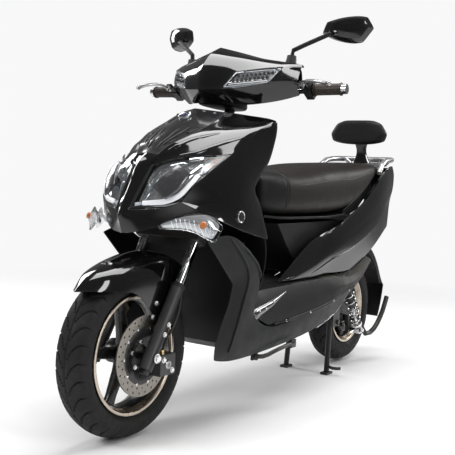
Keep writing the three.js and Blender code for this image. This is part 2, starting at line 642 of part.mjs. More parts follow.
function brakeLever() {
  const [px, pb] = LEVER_PIVOT;
  const boss = rod(steer(px, pb, 876), steer(px, pb, 887.5), 9, 12);
  const blade = tube([steer(px, pb, 882), steer(px + 16, pb - 22, 880), steer(px + 60, pb - 32, 874),
    steer(px + 104, pb - 26, 868)], 5.5, 6, 3);
  const ball = new THREE.SphereGeometry(8, 8, 6);
  ball.translate(...steer(px + 106, pb - 26, 868));
  const hole = rod(steer(px, pb, 860), steer(px, pb, 900), 3.5);
  return cut(join(boss, blade, ball), hole);
}
addPair('brake_lever', 'silver', brakeLever());

// half of the front cover, lower edge to top edge (rows) and centre to outer end (columns)
const COVER = [
  [[0, -342, 940], [60, -320, 940], [112, -268, 942], [168, -206, 955], [222, -166, 976]],
  [[0, -384, 976], [66, -356, 980], [122, -308, 989], [172, -261, 1003], [232, -196, 1012]],
  [[0, -376, 1034], [94, -325, 1033], [148, -282, 1045], [200, -227, 1056], [235, -184, 1052]],
  [[0, -330, 1086], [78, -288, 1080], [134, -244, 1078], [190, -202, 1074], [233, -170, 1068]],
  [[0, -272, 1115], [62, -243, 1100], [120, -206, 1084], [175, -178, 1074], [229, -153, 1062]],
];
const coverGrid = bothSides(refine(COVER, FINE, [2], [1]));
const COVER_CENTRE = 4 * FINE;
function inDayLamp(r, c) {
  const out = c >= COVER_CENTRE ? c - COVER_CENTRE : COVER_CENTRE - 1 - c;
  return r >= FINE && r < 2 * FINE && out >= FINE && out < 3 * FINE;
}
const COVER_INSIDE = [0, -200, 1000];
const coverNormals = gridNormals(coverGrid, COVER_INSIDE);
addPart('bar_cover_front', 'gloss_black',
  panel(coverGrid, coverNormals, PANEL, (r, c) => !inDayLamp(r, c)));
addPair('day_lamp', 'silver', insetPanel(coverGrid, coverNormals,
  [FINE, COVER_CENTRE + FINE], [2 * FINE, COVER_CENTRE + 3 * FINE]));

const DASH = [
  [[0, -262, 1111], [60, -236, 1096], [118, -200, 1080], [172, -174, 1068], [220, -156, 1056]],
  [[0, -216, 1094], [60, -200, 1086], [116, -174, 1073], [168, -152, 1062], [214, -138, 1050]],
  [[0, -134, 1040], [60, -132, 1038], [113, -126, 1032], [162, -118, 1027], [206, -118, 1020]],
  [[0, -126, 992], [60, -126, 992], [112, -122, 992], [160, -116, 993], [204, -118, 994]],
  [[0, -156, 948], [55, -158, 950], [110, -154, 956], [158, -140, 966], [206, -136, 978]],
];
addPart('bar_cover_rear', 'satin_black',
  wholePanel(bothSides(refine(DASH, FINE, [1])), COVER_INSIDE));

// ---------- mirrors ----------
const MIRROR_BASE = [186, -160, 1085];
const MIRROR_NECK = [286, -100, 1168];
const MIRROR_CENTRE = [316, -44, 1188];
addPair('mirror_stalk', 'satin_black', join(
  rod(MIRROR_BASE, [188, -158, 1094], 12),
  tube([[187, -159, 1090], [187, -158, 1110], [204, -148, 1122], MIRROR_NECK], 7, 8, 2),
));
function mirrorHead() {
  const swing = THREE.MathUtils.degToRad(30);
  const outline = [[-78, -14], [-66, 20], [-24, 36], [34, 44], [60, 38], [80, 6], [48, -38],
    [16, -45], [-46, -34]];
  const layer = (k, depth) => outline.map(([w, h]) => [
    MIRROR_CENTRE[0] + w * k * Math.cos(swing) - depth * Math.sin(swing),
    MIRROR_CENTRE[1] + w * k * Math.sin(swing) + depth * Math.cos(swing),
    MIRROR_CENTRE[2] + h * k]);
  const shell = loft([layer(0.35, -34), layer(0.75, -26), layer(0.97, -8), layer(1, 6),
    layer(0.96, 10)]);
  const socket = rod([289, -94, 1170], [300, -70, 1176], 9);
  return join(shell, socket);
}
addPair('mirror_head', 'satin_black', mirrorHead());

// ---------- front wheel, fork legs, mudguard and brake ----------
function forkSliders() {
  const legs = [-1, 1].map((s) => join(
    rod(steer(s * FORK_X, FORK_OFFSET, -62), steer(s * FORK_X, FORK_OFFSET, 186), 19, 16),
    rod(steer(s * FORK_X, FORK_OFFSET, -74), steer(s * FORK_X, FORK_OFFSET, -60), 13)));
  const bores = [-1, 1].map((s) => rod(
    steer(s * FORK_X, FORK_OFFSET, 4), steer(s * FORK_X, FORK_OFFSET, 200), 15, 16));
  const axle = rod([-114, FRONT_AXLE_Y, FRONT_AXLE_Z], [114, FRONT_AXLE_Y, FRONT_AXLE_Z], AXLE_R, 16);
  const caliperArm = rod([88, -680, 238], [88, -647, 218], 8);
  return cut(join(...legs, axle, caliperArm), ...bores);
}
addPart('fork_sliders', 'satin_black', forkSliders());

const FENDER = [
  [[0, -884, 420], [24, -862, 420], [46, -826, 418], [62, -790, 415]],
  [[0, -838, 457], [36, -822, 454], [60, -788, 441], [68, -766, 416]],
  [[0, -776, 483], [40, -764, 477], [66, -746, 458], [71, -734, 410]],
  [[0, -705, 499], [40, -702, 494], [67, -696, 472], [72, -702, 394]],
  [[0, -626, 512], [40, -626, 506], [67, -634, 476], [72, -656, 348]],
  [[0, -545, 502], [40, -546, 496], [66, -556, 464], [72, -620, 300]],
  [[0, -470, 458], [38, -472, 454], [64, -484, 436], [70, -520, 392]],
];
addPart('front_fender', 'gloss_black',
  wholePanel(bothSides(refine(FENDER, FINE)), [0, FRONT_AXLE_Y, FRONT_AXLE_Z]));

function brakeCaliper() {
  const body = block([75, -602, 200], [36, 66, 58]);
  const slot = turnedX([[0, 40], [72, 40], [72, DISC_X - 3], [115, DISC_X - 3], [115, DISC_X + 3],
    [0, DISC_X + 3], [0, 40]], FRONT_AXLE_Y, FRONT_AXLE_Z);
  return cut(body, slot);
}
addPart('brake_caliper', 'satin_black', brakeCaliper());

// [radius, x] sections, each closed on itself
function tyreSection({ outer, seat, half }) {
  const rise = outer - seat;
  const side = [[seat + 1.6, half * 0.7], [seat + rise * 0.14, half * 0.77],
    [seat + rise * 0.24, half * 0.93], [seat + rise * 0.54, half], [outer - rise * 0.17, half * 0.84],
    [outer - 2.5, half * 0.42]];
  const lining = [[outer - 10, 0], [outer - 15, half * 0.55], [seat + rise * 0.5, half - 9],
    [seat + rise * 0.2, half * 0.72], [seat + 1.6, half * 0.56]];
  const left = (points) => points.map(([r, x]) => [r, -x]);
  return [...left(side), [outer, 0], ...[...side].reverse(), ...[...lining].reverse(),
    ...left(lining.slice(1)), left(side)[0]];
}

function rimSection({ seat, half }) {
  const lip = half * 0.85;
  const ring = [[seat + 5, -lip], [seat + 5, -half * 0.8], [seat, -half * 0.76],
    [seat - 10, -half * 0.45], [seat - 10, half * 0.45], [seat, half * 0.76],
    [seat + 5, half * 0.8], [seat + 5, lip], [seat - 5, lip], [seat - 17, half * 0.4],
    [seat - 17, -half * 0.4], [seat - 5, -lip]];
  return [...ring, ring[0]];
}

function wheelCasting(tyre, y, z, hubSection, spokes, spokeSize) {
  const parts = [turnedX(rimSection(tyre), y, z), turnedX(hubSection, y, z, 24)];
  const tip = tyre.seat - 12;
  const root = hubSection[1][0] - 6;
  for (let k = 0; k < spokes; k += 1) {
    const spoke = new THREE.BoxGeometry(spokeSize[0], spokeSize[1], tip - root);
    spoke.translate(0, 0, (tip + root) / 2);
    spoke.rotateX((k / spokes) * 2 * Math.PI);
    spoke.translate(0, y, z);
    parts.push(spoke);
  }
  return join(...parts);
}
addPart('front_tyre', 'tyre', turnedX(tyreSection(FRONT_TYRE), FRONT_AXLE_Y, FRONT_AXLE_Z));
addPart('front_rim', 'satin_black', wheelCasting(FRONT_TYRE, FRONT_AXLE_Y, FRONT_AXLE_Z,
  [[8.6, -50], [34, -50], [34, 50], [8.6, 50], [8.6, -50]], 5, [16, 24]));
addPart('brake_disc', 'steel', turnedX([[30, 50.5], [44, 50.5], [66, DISC_X - 2], [DISC_R, DISC_X - 2],
  [DISC_R, DISC_X + 2], [62, DISC_X + 2], [42, 56], [30, 56], [30, 50.5]], FRONT_AXLE_Y, FRONT_AXLE_Z));

// ---------- rear wheel, swingarm and shocks ----------
addPart('rear_tyre', 'tyre', turnedX(tyreSection(REAR_TYRE), REAR_AXLE_Y, REAR_AXLE_Z));
addPart('rear_rim', 'satin_black', wheelCasting(REAR_TYRE, REAR_AXLE_Y, REAR_AXLE_Z,
  [[8.6, -46], [84, -42], [92, -30], [92, 30], [84, 42], [8.6, 46], [8.6, -46]], 6, [20, 30]));

function extrudedX(points, x0, x1) {
  const outline = new THREE.Shape(points.map(([y, z]) => new THREE.Vector2(y, z)));
  const g = new THREE.ExtrudeGeometry(outline, { depth: x1 - x0, bevelEnabled: false });
  g.rotateY(Math.PI / 2);
  g.rotateX(Math.PI / 2);
  g.translate(x0, 0, 0);
  return g;
}

function swingarm() {
  const [py, pz] = SWING_PIVOT;
  const [fy, fz] = SHOCK_FOOT;
  const ay = REAR_AXLE_Y;
  const az = REAR_AXLE_Z;
  const outline = [[py - 20, pz - 14], [py - 20, pz + 14], [py, pz + 20], [ay - 90, az + 34],
    [ay + 18, az + 28], [ay + 30, az], [ay + 14, az - 26], [fy + 16, fz - 12], [fy - 16, fz - 12],
    [fy - 30, az - 14], [py + 16, pz - 22]];
  const parts = [];
  for (const s of [-1, 1]) {
    parts.push(extrudedX(outline, s > 0 ? 58 : -72, s > 0 ? 72 : -58));
    parts.push(rod([s * 62, fy, fz], [s * 120, fy, fz], 6));
    parts.push(tube([[s * 66, ay + 2, az - 20], [s * 92, ay + 6, 160], [s * 112, 656, 118],
      [s * 122, 706, 128], [s * 130, 764, 186], [s * 134, 800, 254]], 10, 6, 2));
  }
  parts.push(rod([-58.5, py, pz], [58.5, py, pz], 15, 14));
  parts.push(rod([-84, ay, az], [84, ay, az], AXLE_R, 14));
  return cut(join(...parts), rod([-120, py, pz], [120, py, pz], 7.8, 14));
}
addPart('swingarm', 'frame_black', swingarm());

const shockTop = [SHOCK_X, ...SHOCK_TOP];
const shockFoot = [SHOCK_X, ...SHOCK_FOOT];
const SHOCK_LEN = vec(shockTop).distanceTo(vec(shockFoot));
const onShock = (mm) => along(shockTop, shockFoot, mm / SHOCK_LEN);
const eye = ([x, y, z], r) => rod([x - 11, y, z], [x + 11, y, z], r, 12);
const UPPER_SEAT = 44;
const LOWER_SEAT = SHOCK_LEN - 34;
const TUBE_END = 176;
const PISTON_TOP = 120;
const pinThrough = ([y, z], r) => rod([60, y, z], [160, y, z], r, 12);
function shockUpper() {
  const body = join(eye(shockTop, 14), rod(onShock(8), onShock(TUBE_END), 13, 12),
    rod(onShock(UPPER_SEAT - 8), onShock(UPPER_SEAT), 22, 12));
  return cut(body, rod(onShock(60), onShock(TUBE_END + 20), 8.5), pinThrough(SHOCK_TOP, 6.8));
}
function shockLower() {
  const body = join(eye(shockFoot, 16), rod(onShock(PISTON_TOP), onShock(SHOCK_LEN - 8), 6),
    rod(onShock(LOWER_SEAT), onShock(LOWER_SEAT + 8), 22, 12));
  return cut(body, pinThrough(SHOCK_FOOT, 10));
}
class Coil extends THREE.Curve {
  getPoint(t, target = new THREE.Vector3()) {
    const turns = 6;
    const from = UPPER_SEAT + 4;
    const to = LOWER_SEAT - 4;
    const a = t * turns * 2 * Math.PI;
    const down = vec(shockFoot).sub(vec(shockTop)).normalize();
    const side = new THREE.Vector3(1, 0, 0);
    const back = down.clone().cross(side);
    const centre = vec(onShock(from + (to - from) * t));
    const across = 19 * Math.cos(a);
    const around = 19 * Math.sin(a);
    return target.copy(centre).addScaledVector(side, across).addScaledVector(back, around);
  }
}
function shockSpring() {
  const wire = new THREE.Shape();
  for (let i = 0; i < 4; i += 1) {
    const a = (i / 4) * 2 * Math.PI;
    wire[i ? 'lineTo' : 'moveTo'](3.4 * Math.cos(a), 3.4 * Math.sin(a));
  }
  wire.closePath();
  return new THREE.ExtrudeGeometry(wire, { steps: 54, bevelEnabled: false, extrudePath: new Coil() });
}
addPair('shock_upper', 'satin_black', shockUpper());
addPair('shock_lower', 'alloy', shockLower());
addPair('shock_spring', 'chrome', fromSolid(toSolid(shockSpring())));

// ---------- stands ----------
function centreStand() {
  const [py, pz] = STAND_PIVOT;
  const [fy, fx] = STAND_FOOT;
  const parts = [rod([-120, py, pz], [120, py, pz], 9, 16)];
  for (const s of [-1, 1]) {
    parts.push(rod([s * (fx - 4), py, pz], [s * fx, fy, 5], 10, 10));
    parts.push(block([s * fx, fy, 4], [28, 46, 8]));
  }
  parts.push(tube([[fx, fy + 1, 30], [fx + 30, fy - 6, 26], [fx + 52, fy + 10, 26]], 6, 6, 2));
  return join(...parts);
}
addPart('centre_stand', 'frame_black', centreStand());
function sideStand() {
  const [sx, sy, sz] = SIDE_STAND_PIVOT;
  const leg = tube([[sx + 9, sy, sz], [sx + 28, sy + 18, sz + 2], [sx + 41, sy + 60, sz + 14],
    [sx + 42, sy + 170, sz + 24]], 7, 8, 3);
  const hub = rod([sx + 4.8, sy, sz], [sx + 13, sy, sz], 11, 14);
  const pin = rod([sx - 7, sy, sz], [sx + 6, sy, sz], 4, 10);
  return join(leg, hub, pin, block([sx + 43, sy + 166, sz + 22], [8, 30, 26]));
}
addPart('side_stand', 'frame_black', sideStand());

// ---------- small controls ----------
// lock barrel and key, square to the sloping rear face of the leg shield
function ignitionKey() {
  const g = join(rod([0, 0, 0], [0, 13, 0], 13, 20), block([0, 22, 0], [5, 30, 22]));
  g.rotateX(-Math.atan(27 / 80));
  g.translate(...KEY_POINT);
  return g;
}
addPart('ignition_key', 'chrome', ignitionKey());

export default scooter;
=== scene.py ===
"""Looks of the moped scooter: refined shells, lamps, wheels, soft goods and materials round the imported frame.

Metres. +X is the rider's left, -Y is the front, +Z is up, ground at z = 0.
"""
import bmesh
import bpy
import json
from math import atan2, copysign, cos, hypot, pi, radians, sin
from mathutils import Matrix, Vector
from mathutils.bvhtree import BVHTree


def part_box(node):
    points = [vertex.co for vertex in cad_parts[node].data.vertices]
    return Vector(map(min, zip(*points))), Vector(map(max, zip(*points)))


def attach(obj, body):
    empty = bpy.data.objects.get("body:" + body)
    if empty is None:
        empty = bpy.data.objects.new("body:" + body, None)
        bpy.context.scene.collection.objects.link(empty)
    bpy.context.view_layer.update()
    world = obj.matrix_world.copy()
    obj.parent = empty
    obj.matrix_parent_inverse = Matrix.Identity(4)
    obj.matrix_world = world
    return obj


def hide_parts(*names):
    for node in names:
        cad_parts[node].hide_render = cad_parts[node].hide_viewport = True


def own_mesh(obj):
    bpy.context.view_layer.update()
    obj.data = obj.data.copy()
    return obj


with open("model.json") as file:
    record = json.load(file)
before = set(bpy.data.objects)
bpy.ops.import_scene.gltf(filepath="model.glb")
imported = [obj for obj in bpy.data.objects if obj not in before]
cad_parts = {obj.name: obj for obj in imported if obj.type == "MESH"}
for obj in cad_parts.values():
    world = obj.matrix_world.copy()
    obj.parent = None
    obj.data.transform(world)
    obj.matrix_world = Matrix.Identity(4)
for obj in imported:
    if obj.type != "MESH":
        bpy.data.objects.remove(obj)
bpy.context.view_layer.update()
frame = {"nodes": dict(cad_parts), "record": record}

BODY_OF = {n: b for b, nodes in frame["record"]["behaviour"]["bodies"].items() for n in nodes}
SLOT_OF = {row["node"]: row["material_slot"] for row in frame["record"]["subparts"]}
SIDES = (("left", 1), ("right", -1))
RAKE = radians(32)
STEM = (0, sin(RAKE), cos(RAKE))
STEER_FOOT = Vector((0, -0.638, 0.235))
FRONT_AXLE = Vector((0, -0.679, 0.233))
REAR_AXLE = Vector((0, 0.637, 0.211))
RIM_HALF = {"front_rim": 0.05, "rear_rim": 0.046}
BACKGROUND = 0.94
AMBIENT = 0.15
MAT = {}


def steer(x, back, up):
    """A point given across, behind and along the raked steering axis."""
    y = STEER_FOOT.y + back * cos(RAKE) + up * sin(RAKE)
    return Vector((x, y, STEER_FOOT.z - back * sin(RAKE) + up * cos(RAKE)))


def flip(p, side):
    return Vector((p[0] * side, p[1], p[2]))


def mirrored(points, side):
    return [flip(p, side) for p in points]


# ---------- camera ----------
def make_camera():
    yaw, pitch, roll = radians(33.46), radians(-3.892), radians(2.377)
    forward = Vector((-sin(yaw) * cos(pitch), cos(yaw) * cos(pitch), sin(pitch)))
    level = Vector((cos(yaw), sin(yaw), 0))
    upright = level.cross(forward)
    right = level * cos(roll) + upright * sin(roll)
    up = upright * cos(roll) - level * sin(roll)
    data = bpy.data.cameras.new("camera")
    data.sensor_width = 36
    data.lens = 68.83
    camera = bpy.data.objects.new("camera", data)
    turn = Matrix((right, up, -forward)).transposed().to_4x4()
    camera.matrix_world = Matrix.Translation((1.5218, -2.4949, 0.747)) @ turn
    bpy.context.scene.collection.objects.link(camera)
    bpy.context.scene.camera = camera


# ---------- materials ----------
class Shader:
    """A Principled material, kept in MAT by its name, and short calls for the nodes that feed it."""

    def __init__(self, name):
        self.material = MAT[name] = bpy.data.materials.new(name)
        self.material.use_nodes = True
        self.nodes = self.material.node_tree.nodes
        self.links = self.material.node_tree.links
        self.out = self.nodes["Principled BSDF"]
        self.place = self.node("TexCoord").outputs["Object"]

    def link(self, a, b):
        self.links.new(a, b)

    def node(self, kind, **numbers):
        made = self.nodes.new("ShaderNode" + kind)
        for key, number in numbers.items():
            made.inputs[key.replace("_", " ")].default_value = number
        return made

    def noise(self, scale, detail, rough=0.55, stretch=None):
        n = self.node("TexNoise", Scale=scale, Detail=detail, Roughness=rough)
        place = self.place
        if stretch:
            mapping = self.node("Mapping", Scale=stretch)
            self.link(place, mapping.inputs["Vector"])
            place = mapping.outputs["Vector"]
        self.link(place, n.inputs["Vector"])
        return n.outputs["Fac"]

    def cells(self, scale, feature="F1"):
        n = self.node("TexVoronoi")
        n.feature = feature
        n.inputs["Scale"].default_value = scale
        self.link(self.place, n.inputs["Vector"])
        return n.outputs["Distance"]

    def wave(self, scale):
        n = self.node("TexWave", Scale=scale)
        n.bands_direction = "Y"
        self.link(self.place, n.inputs["Vector"])
        return n.outputs["Fac"]

    def remap(self, value, low, high, to_low=0, to_high=1):
        n = self.node("MapRange", From_Min=low, From_Max=high, To_Min=to_low, To_Max=to_high)
        self.link(value, n.inputs["Value"])
        return n.outputs["Result"]

    def mix(self, factor, a, b):
        n = self.nodes.new("ShaderNodeMix")
        n.data_type = "RGBA"
        self.link(factor, n.inputs["Factor"])
        for socket, colour in ((n.inputs["A"], a), (n.inputs["B"], b)):
            if isinstance(colour, tuple):
                socket.default_value = (*colour, 1)
            else:
                self.link(colour, socket)
        return n.outputs["Result"]

    def edges(self):
        """1 along outward edges, 0 on flat faces."""
        return self.remap(self.node("NewGeometry").outputs["Pointiness"], 0.505, 0.56)

    def bump(self, height, strength, distance):
        n = self.node("Bump", Strength=strength, Distance=distance)
        self.link(height, n.inputs["Height"])
        if self.out.inputs["Normal"].links:
            self.link(self.out.inputs["Normal"].links[0].from_socket, n.inputs["Normal"])
        self.link(n.outputs["Normal"], self.out.inputs["Normal"])

    def colour(self, value):
        self.link(value, self.out.inputs["Base Color"])

    def rough(self, pattern, low, high):
        """Roughness from low to high along a pattern."""
        self.link(self.remap(pattern, 0.3, 0.7, low, high), self.out.inputs["Roughness"])

    def fixed(self, **numbers):
        for key, number in numbers.items():
            self.out.inputs[key.replace("_", " ")].default_value = number
        return self


def tint(colour, share):
    return tuple(min(1, c * share) for c in colour)


def surface(name, base, low, high, vary=0.12, wear=None, grain=None, patches=7.0, **fixed):
    """Drifting colour, roughness from low to high, optional lighter edges and a grain of (scale, depth)."""
    s = Shader(name)
    colour = s.mix(s.noise(patches, 5), tint(base, 1 - vary), tint(base, 1 + vary))
    if wear:
        colour = s.mix(s.edges(), colour, wear)
    s.colour(colour)
    s.rough(s.noise(patches * 4.3, 6), low, high)
    if grain:
        s.bump(s.noise(grain[0], 3), grain[1], 0.0004)
    return s.fixed(**fixed)


def leather(name, base, spread=0.35):
    """Grained vinyl, mottled and darker in its creases."""
    s = Shader(name)
    creases = s.cells(420, "DISTANCE_TO_EDGE")
    mottled = s.mix(s.remap(s.noise(9, 4), 0.35, 0.7), base, tint(base, 1 + spread))
    s.colour(s.mix(s.remap(creases, 0.0, 0.1), tint(base, 0.5), mottled))
    s.rough(s.noise(30, 5), 0.36, 0.52)
    s.bump(s.remap(creases, 0.0, 0.2), 0.35, 0.0004)
    s.bump(s.noise(14, 2), 0.12, 0.004)
    s.fixed(Sheen_Weight=0.02, Specular_IOR_Level=0.2)


def tyre_rubber():
    s = Shader("tyre")
    dust = s.remap(s.noise(5, 6, 0.7), 0.42, 0.72)
    s.colour(s.mix(dust, (0.0062, 0.0062, 0.0066), (0.014, 0.0136, 0.013)))
    s.rough(s.noise(70, 4), 0.58, 0.8)
    s.bump(s.noise(1500, 2), 0.2, 0.0003)
    s.fixed(Specular_IOR_Level=0.3)


def machined(name, base, low, high, stretch=None):
    """Metal with fine turned or brushed lines."""
    s = Shader(name)
    lines = s.noise(260, 3, 0.6, stretch)
    s.colour(s.mix(lines, tint(base, 0.78), base))
    s.rough(lines, low, high)
    s.bump(lines, 0.12, 0.0003)
    s.fixed(Metallic=1.0)


def lens(name, colour, clear=1.0, **fixed):
    s = Shader(name)
    s.colour(s.mix(s.noise(18, 3), tint(colour, 0.94), colour))
    s.rough(s.noise(60, 4), 0.015, 0.05)
    return s.fixed(Transmission_Weight=clear, IOR=1.35, **fixed)


def ribbed_lens():
    s = lens("red", (0.36, 0.008, 0.01), clear=0.15, Coat_Weight=0.8)
    s.bump(s.wave(22), 0.35, 0.0012)


def black_gloss():
    s = surface("paint", (0.004, 0.004, 0.0042), 0.05, 0.1, vary=0.2, wear=(0.012, 0.012, 0.0125),
        Coat_Weight=0.35, Coat_Roughness=0.03, Specular_IOR_Level=0.4)
    s.bump(s.noise(42, 2), 0.015, 0.002)


def moulded(name, base, depth, low, high):
    """Moulded plastic with a fine spark-eroded grain."""
    s = surface(name, base, low, high, vary=0.16, wear=tint(base, 2.1), patches=5, Specular_IOR_Level=0.22)
    s.bump(s.cells(1400), depth, 0.0003)


def paints_and_plastics():
    black_gloss()
    surface("paint_grey", (0.018, 0.018, 0.019), 0.1, 0.18, wear=(0.06, 0.06, 0.062), Metallic=0.25,
        Coat_Weight=0.5, Coat_Roughness=0.04)
    moulded("skirt", (0.0078, 0.008, 0.0086), 0.3, 0.44, 0.58)
    moulded("satin", (0.005, 0.005, 0.0052), 0.22, 0.38, 0.52)
    moulded("step", (0.03, 0.029, 0.025), 0.3, 0.45, 0.6)
    surface("frame", (0.006, 0.006, 0.006), 0.28, 0.42, wear=(0.03, 0.028, 0.026), grain=(240, 0.06),
        Specular_IOR_Level=0.35)
    surface("rim", (0.005, 0.005, 0.0053), 0.2, 0.34, wear=(0.025, 0.025, 0.025), grain=(300, 0.05),
        Specular_IOR_Level=0.4)
    surface("caliper", (0.0075, 0.0075, 0.0078), 0.34, 0.5, wear=(0.05, 0.05, 0.05), grain=(420, 0.25),
        Specular_IOR_Level=0.35)
    surface("battery", (0.1, 0.15, 0.23), 0.3, 0.45, grain=(300, 0.1), Metallic=0.6)
    surface("button", (0.45, 0.02, 0.015), 0.25, 0.4, grain=(500, 0.1))
    surface("enamel", (0.012, 0.016, 0.05), 0.1, 0.2, vary=0.3, Coat_Weight=0.6)


def soft_materials():
    leather("leather_black", (0.0042, 0.0041, 0.004))
    leather("leather_brown", (0.0068, 0.0042, 0.0028), spread=0.6)
    surface("piping", (0.008, 0.0075, 0.007), 0.4, 0.55, grain=(700, 0.2))
    surface("hose", (0.014, 0.014, 0.014), 0.45, 0.6, grain=(900, 0.2))
    tyre_rubber()


def metals():
    surface("chrome", (0.6, 0.6, 0.61), 0.06, 0.13, vary=0.05, grain=(60, 0.01), Metallic=1.0)
    machined("steel", (0.3, 0.28, 0.25), 0.24, 0.4)
    machined("lip", (0.6, 0.52, 0.43), 0.2, 0.32, (1.0, 0.04, 0.04))
    surface("alloy", (0.34, 0.34, 0.35), 0.28, 0.42, grain=(500, 0.2), Metallic=0.9)
    surface("silver", (0.24, 0.24, 0.25), 0.26, 0.38, wear=(0.4, 0.4, 0.4), grain=(900, 0.04), Metallic=0.7)
    surface("lever", (0.2, 0.2, 0.205), 0.24, 0.36, wear=(0.4, 0.4, 0.4), grain=(700, 0.05), Metallic=0.85)
    surface("bolt", (0.62, 0.62, 0.6), 0.2, 0.34, wear=(0.8, 0.8, 0.8), Metallic=1.0)
    surface("brass", (0.6, 0.42, 0.2), 0.25, 0.4, wear=(0.8, 0.6, 0.3), Metallic=1.0)
    surface("grip", (0.026, 0.018, 0.0125), 0.36, 0.52, grain=(800, 0.25), Metallic=0.3)
    surface("badge", (0.55, 0.56, 0.58), 0.12, 0.22, vary=0.2, grain=(500, 0.08), Metallic=0.9)
    surface("mirror", (0.72, 0.75, 0.8), 0.015, 0.03, vary=0.03, Metallic=1.0)


def lamp_materials():
    lens("clear", (0.94, 0.97, 0.99))
    ribbed_lens()
    surface("screen", (0.008, 0.01, 0.013), 0.04, 0.09, grain=(60, 0.02), Coat_Weight=0.6)
    surface("amber", (0.42, 0.13, 0.035), 0.08, 0.16, vary=0.3, Coat_Weight=0.3,
        Emission_Color=(0.9, 0.33, 0.08, 1), Emission_Strength=0.05)
    surface("reflector", (0.8, 0.81, 0.83), 0.05, 0.14, vary=0.08, grain=(120, 0.12), Metallic=1.0)
    # Lamp lining with a faint glow: painted reflection that keeps it as bright as lit chrome.
    surface("lamp_silver_painted_reflection", (0.6, 0.6, 0.61), 0.1, 0.24, vary=0.4, grain=(90, 0.25), patches=34,
        Metallic=0.75, Emission_Color=(0.85, 0.84, 0.82, 1), Emission_Strength=0.07)
    surface("bezel", (0.13, 0.13, 0.136), 0.14, 0.28, vary=0.5, grain=(200, 0.08), patches=26, Metallic=0.8)
    # White with a faint glow; round the day lamps' edges it stands for painted highlights.
    surface("guide", (0.72, 0.73, 0.76), 0.2, 0.3, vary=0.05, Emission_Color=(0.72, 0.73, 0.76, 1),
        Emission_Strength=0.16)
    surface("led", (0.09, 0.09, 0.095), 0.12, 0.3, grain=(300, 0.1), Metallic=0.5)
    surface("smoke", (0.1, 0.095, 0.09), 0.05, 0.12, vary=0.5, grain=(60, 0.2), patches=40, Metallic=0.6,
        Coat_Weight=0.6)
    surface("reflex", (0.5, 0.012, 0.012), 0.06, 0.14, Coat_Weight=0.8)


# ---------- mesh helpers ----------
def piece(name, bm, body, *materials, slot=None, smooth=50):
    """A visible piece on a body; smooth is the angle, in degrees, past which an edge stays sharp."""
    bmesh.ops.recalc_face_normals(bm, faces=bm.faces)
    for face in bm.faces:
        face.smooth = True
    for edge in bm.edges:
        edge.smooth = edge.calc_face_angle(0) < radians(smooth)
    mesh = bpy.data.meshes.new(name)
    bm.to_mesh(mesh)
    bm.free()
    for key in materials:
        mesh.materials.append(MAT[key])
    obj = bpy.data.objects.new(name, mesh)
    bpy.context.scene.collection.objects.link(obj)
    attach(obj, body)
    return obj


def node_bmesh(node):
    """The CAD node's mesh, welded, with its triangles joined back into four-sided faces."""
    bm = bmesh.new()
    bm.from_mesh(frame["nodes"][node].data)
    bmesh.ops.remove_doubles(bm, verts=bm.verts, dist=2e-5)
    bmesh.ops.join_triangles(bm, faces=bm.faces, angle_face_threshold=radians(35),
        angle_shape_threshold=radians(65))
    return bm


def painted(node, paint):
    """The CAD node's mesh; paint(centre, normal) picks the material of each face."""
    bm = node_bmesh(node)
    if paint:
        for face in bm.faces:
            face.material_index = paint(face.calc_center_median(), face.normal)
    return bm


def modifier(obj, kind, **settings):
    made = obj.modifiers.new(kind.lower(), kind)
    for key, value in settings.items():
        setattr(made, key, value)
    return made


def rounded(obj, width, sharp):
    modifier(obj, "BEVEL", width=width, segments=2, limit_method="ANGLE", angle_limit=radians(sharp))


def shell(node, *materials, sharp=34, crease=0.85, paint=None):
    """A CAD node as a subdivided skin with its sharp edges held."""
    bm = painted(node, paint)
    layer = bm.edges.layers.float.new("crease_edge")
    for edge in bm.edges:
        if edge.calc_face_angle(0) > radians(sharp):
            edge[layer] = crease
    obj = piece(node + "_skin", bm, BODY_OF[node], *materials, slot=SLOT_OF[node], smooth=sharp)
    modifier(obj, "SUBSURF", levels=2, render_levels=2)
    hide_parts(node)


def hard(node, *materials, sharp=40, width=0.0007, paint=None):
    """A CAD node kept as it is, with small rounds along its edges."""
    bm = painted(node, paint)
    obj = piece(node + "_piece", bm, BODY_OF[node], *materials, slot=SLOT_OF[node], smooth=sharp)
    rounded(obj, width, sharp)
    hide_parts(node)


class Skin:
    """Finds points on the outside of a CAD node."""

    def __init__(self, node):
        self.tree = BVHTree.FromBMesh(node_bmesh(node))

    def at(self, p, lift=0.0):
        spot, normal, _, _ = self.tree.find_nearest(Vector(p))
        return spot + normal * lift

    def normal(self, p):
        return self.tree.find_nearest(Vector(p))[1]

    def path(self, points, lift, steps):
        return [self.at(p, lift) for p in curve_through(points, steps)]

    def strip(self, points, width, thick, lift, steps=8, taper=None, sides=12):
        """A flat strip that lies on the surface."""
        path = self.path(points, lift, steps)
        return sweep(path, width, sides, thick, taper, ups=[self.normal(p) for p in path])


def curve_through(points, steps, closed=False):
    """Smooth points through a run of points, which may close on itself."""
    pts = [Vector(p) for p in points]
    count = len(pts)
    out = []
    for i in range(count if closed else count - 1):
        near = range(i - 1, i + 3)
        a, b, c, d = (pts[k % count if closed else min(max(k, 0), count - 1)] for k in near)
        for k in range(steps):
            t = k / steps
            out.append(0.5 * (2 * b + (c - a) * t + (2 * a - 5 * b + 4 * c - d) * t * t
                + (3 * b - a - 3 * c + d) * t ** 3))
    return out if closed else out + [pts[-1]]


def swell(ends, power=1, margin=0.0):
    """A taper that is full in the middle and falls to a share of that at both ends."""
    return lambda t: ends + (1 - ends) * sin(pi * min(max(t, margin), 1 - margin)) ** power


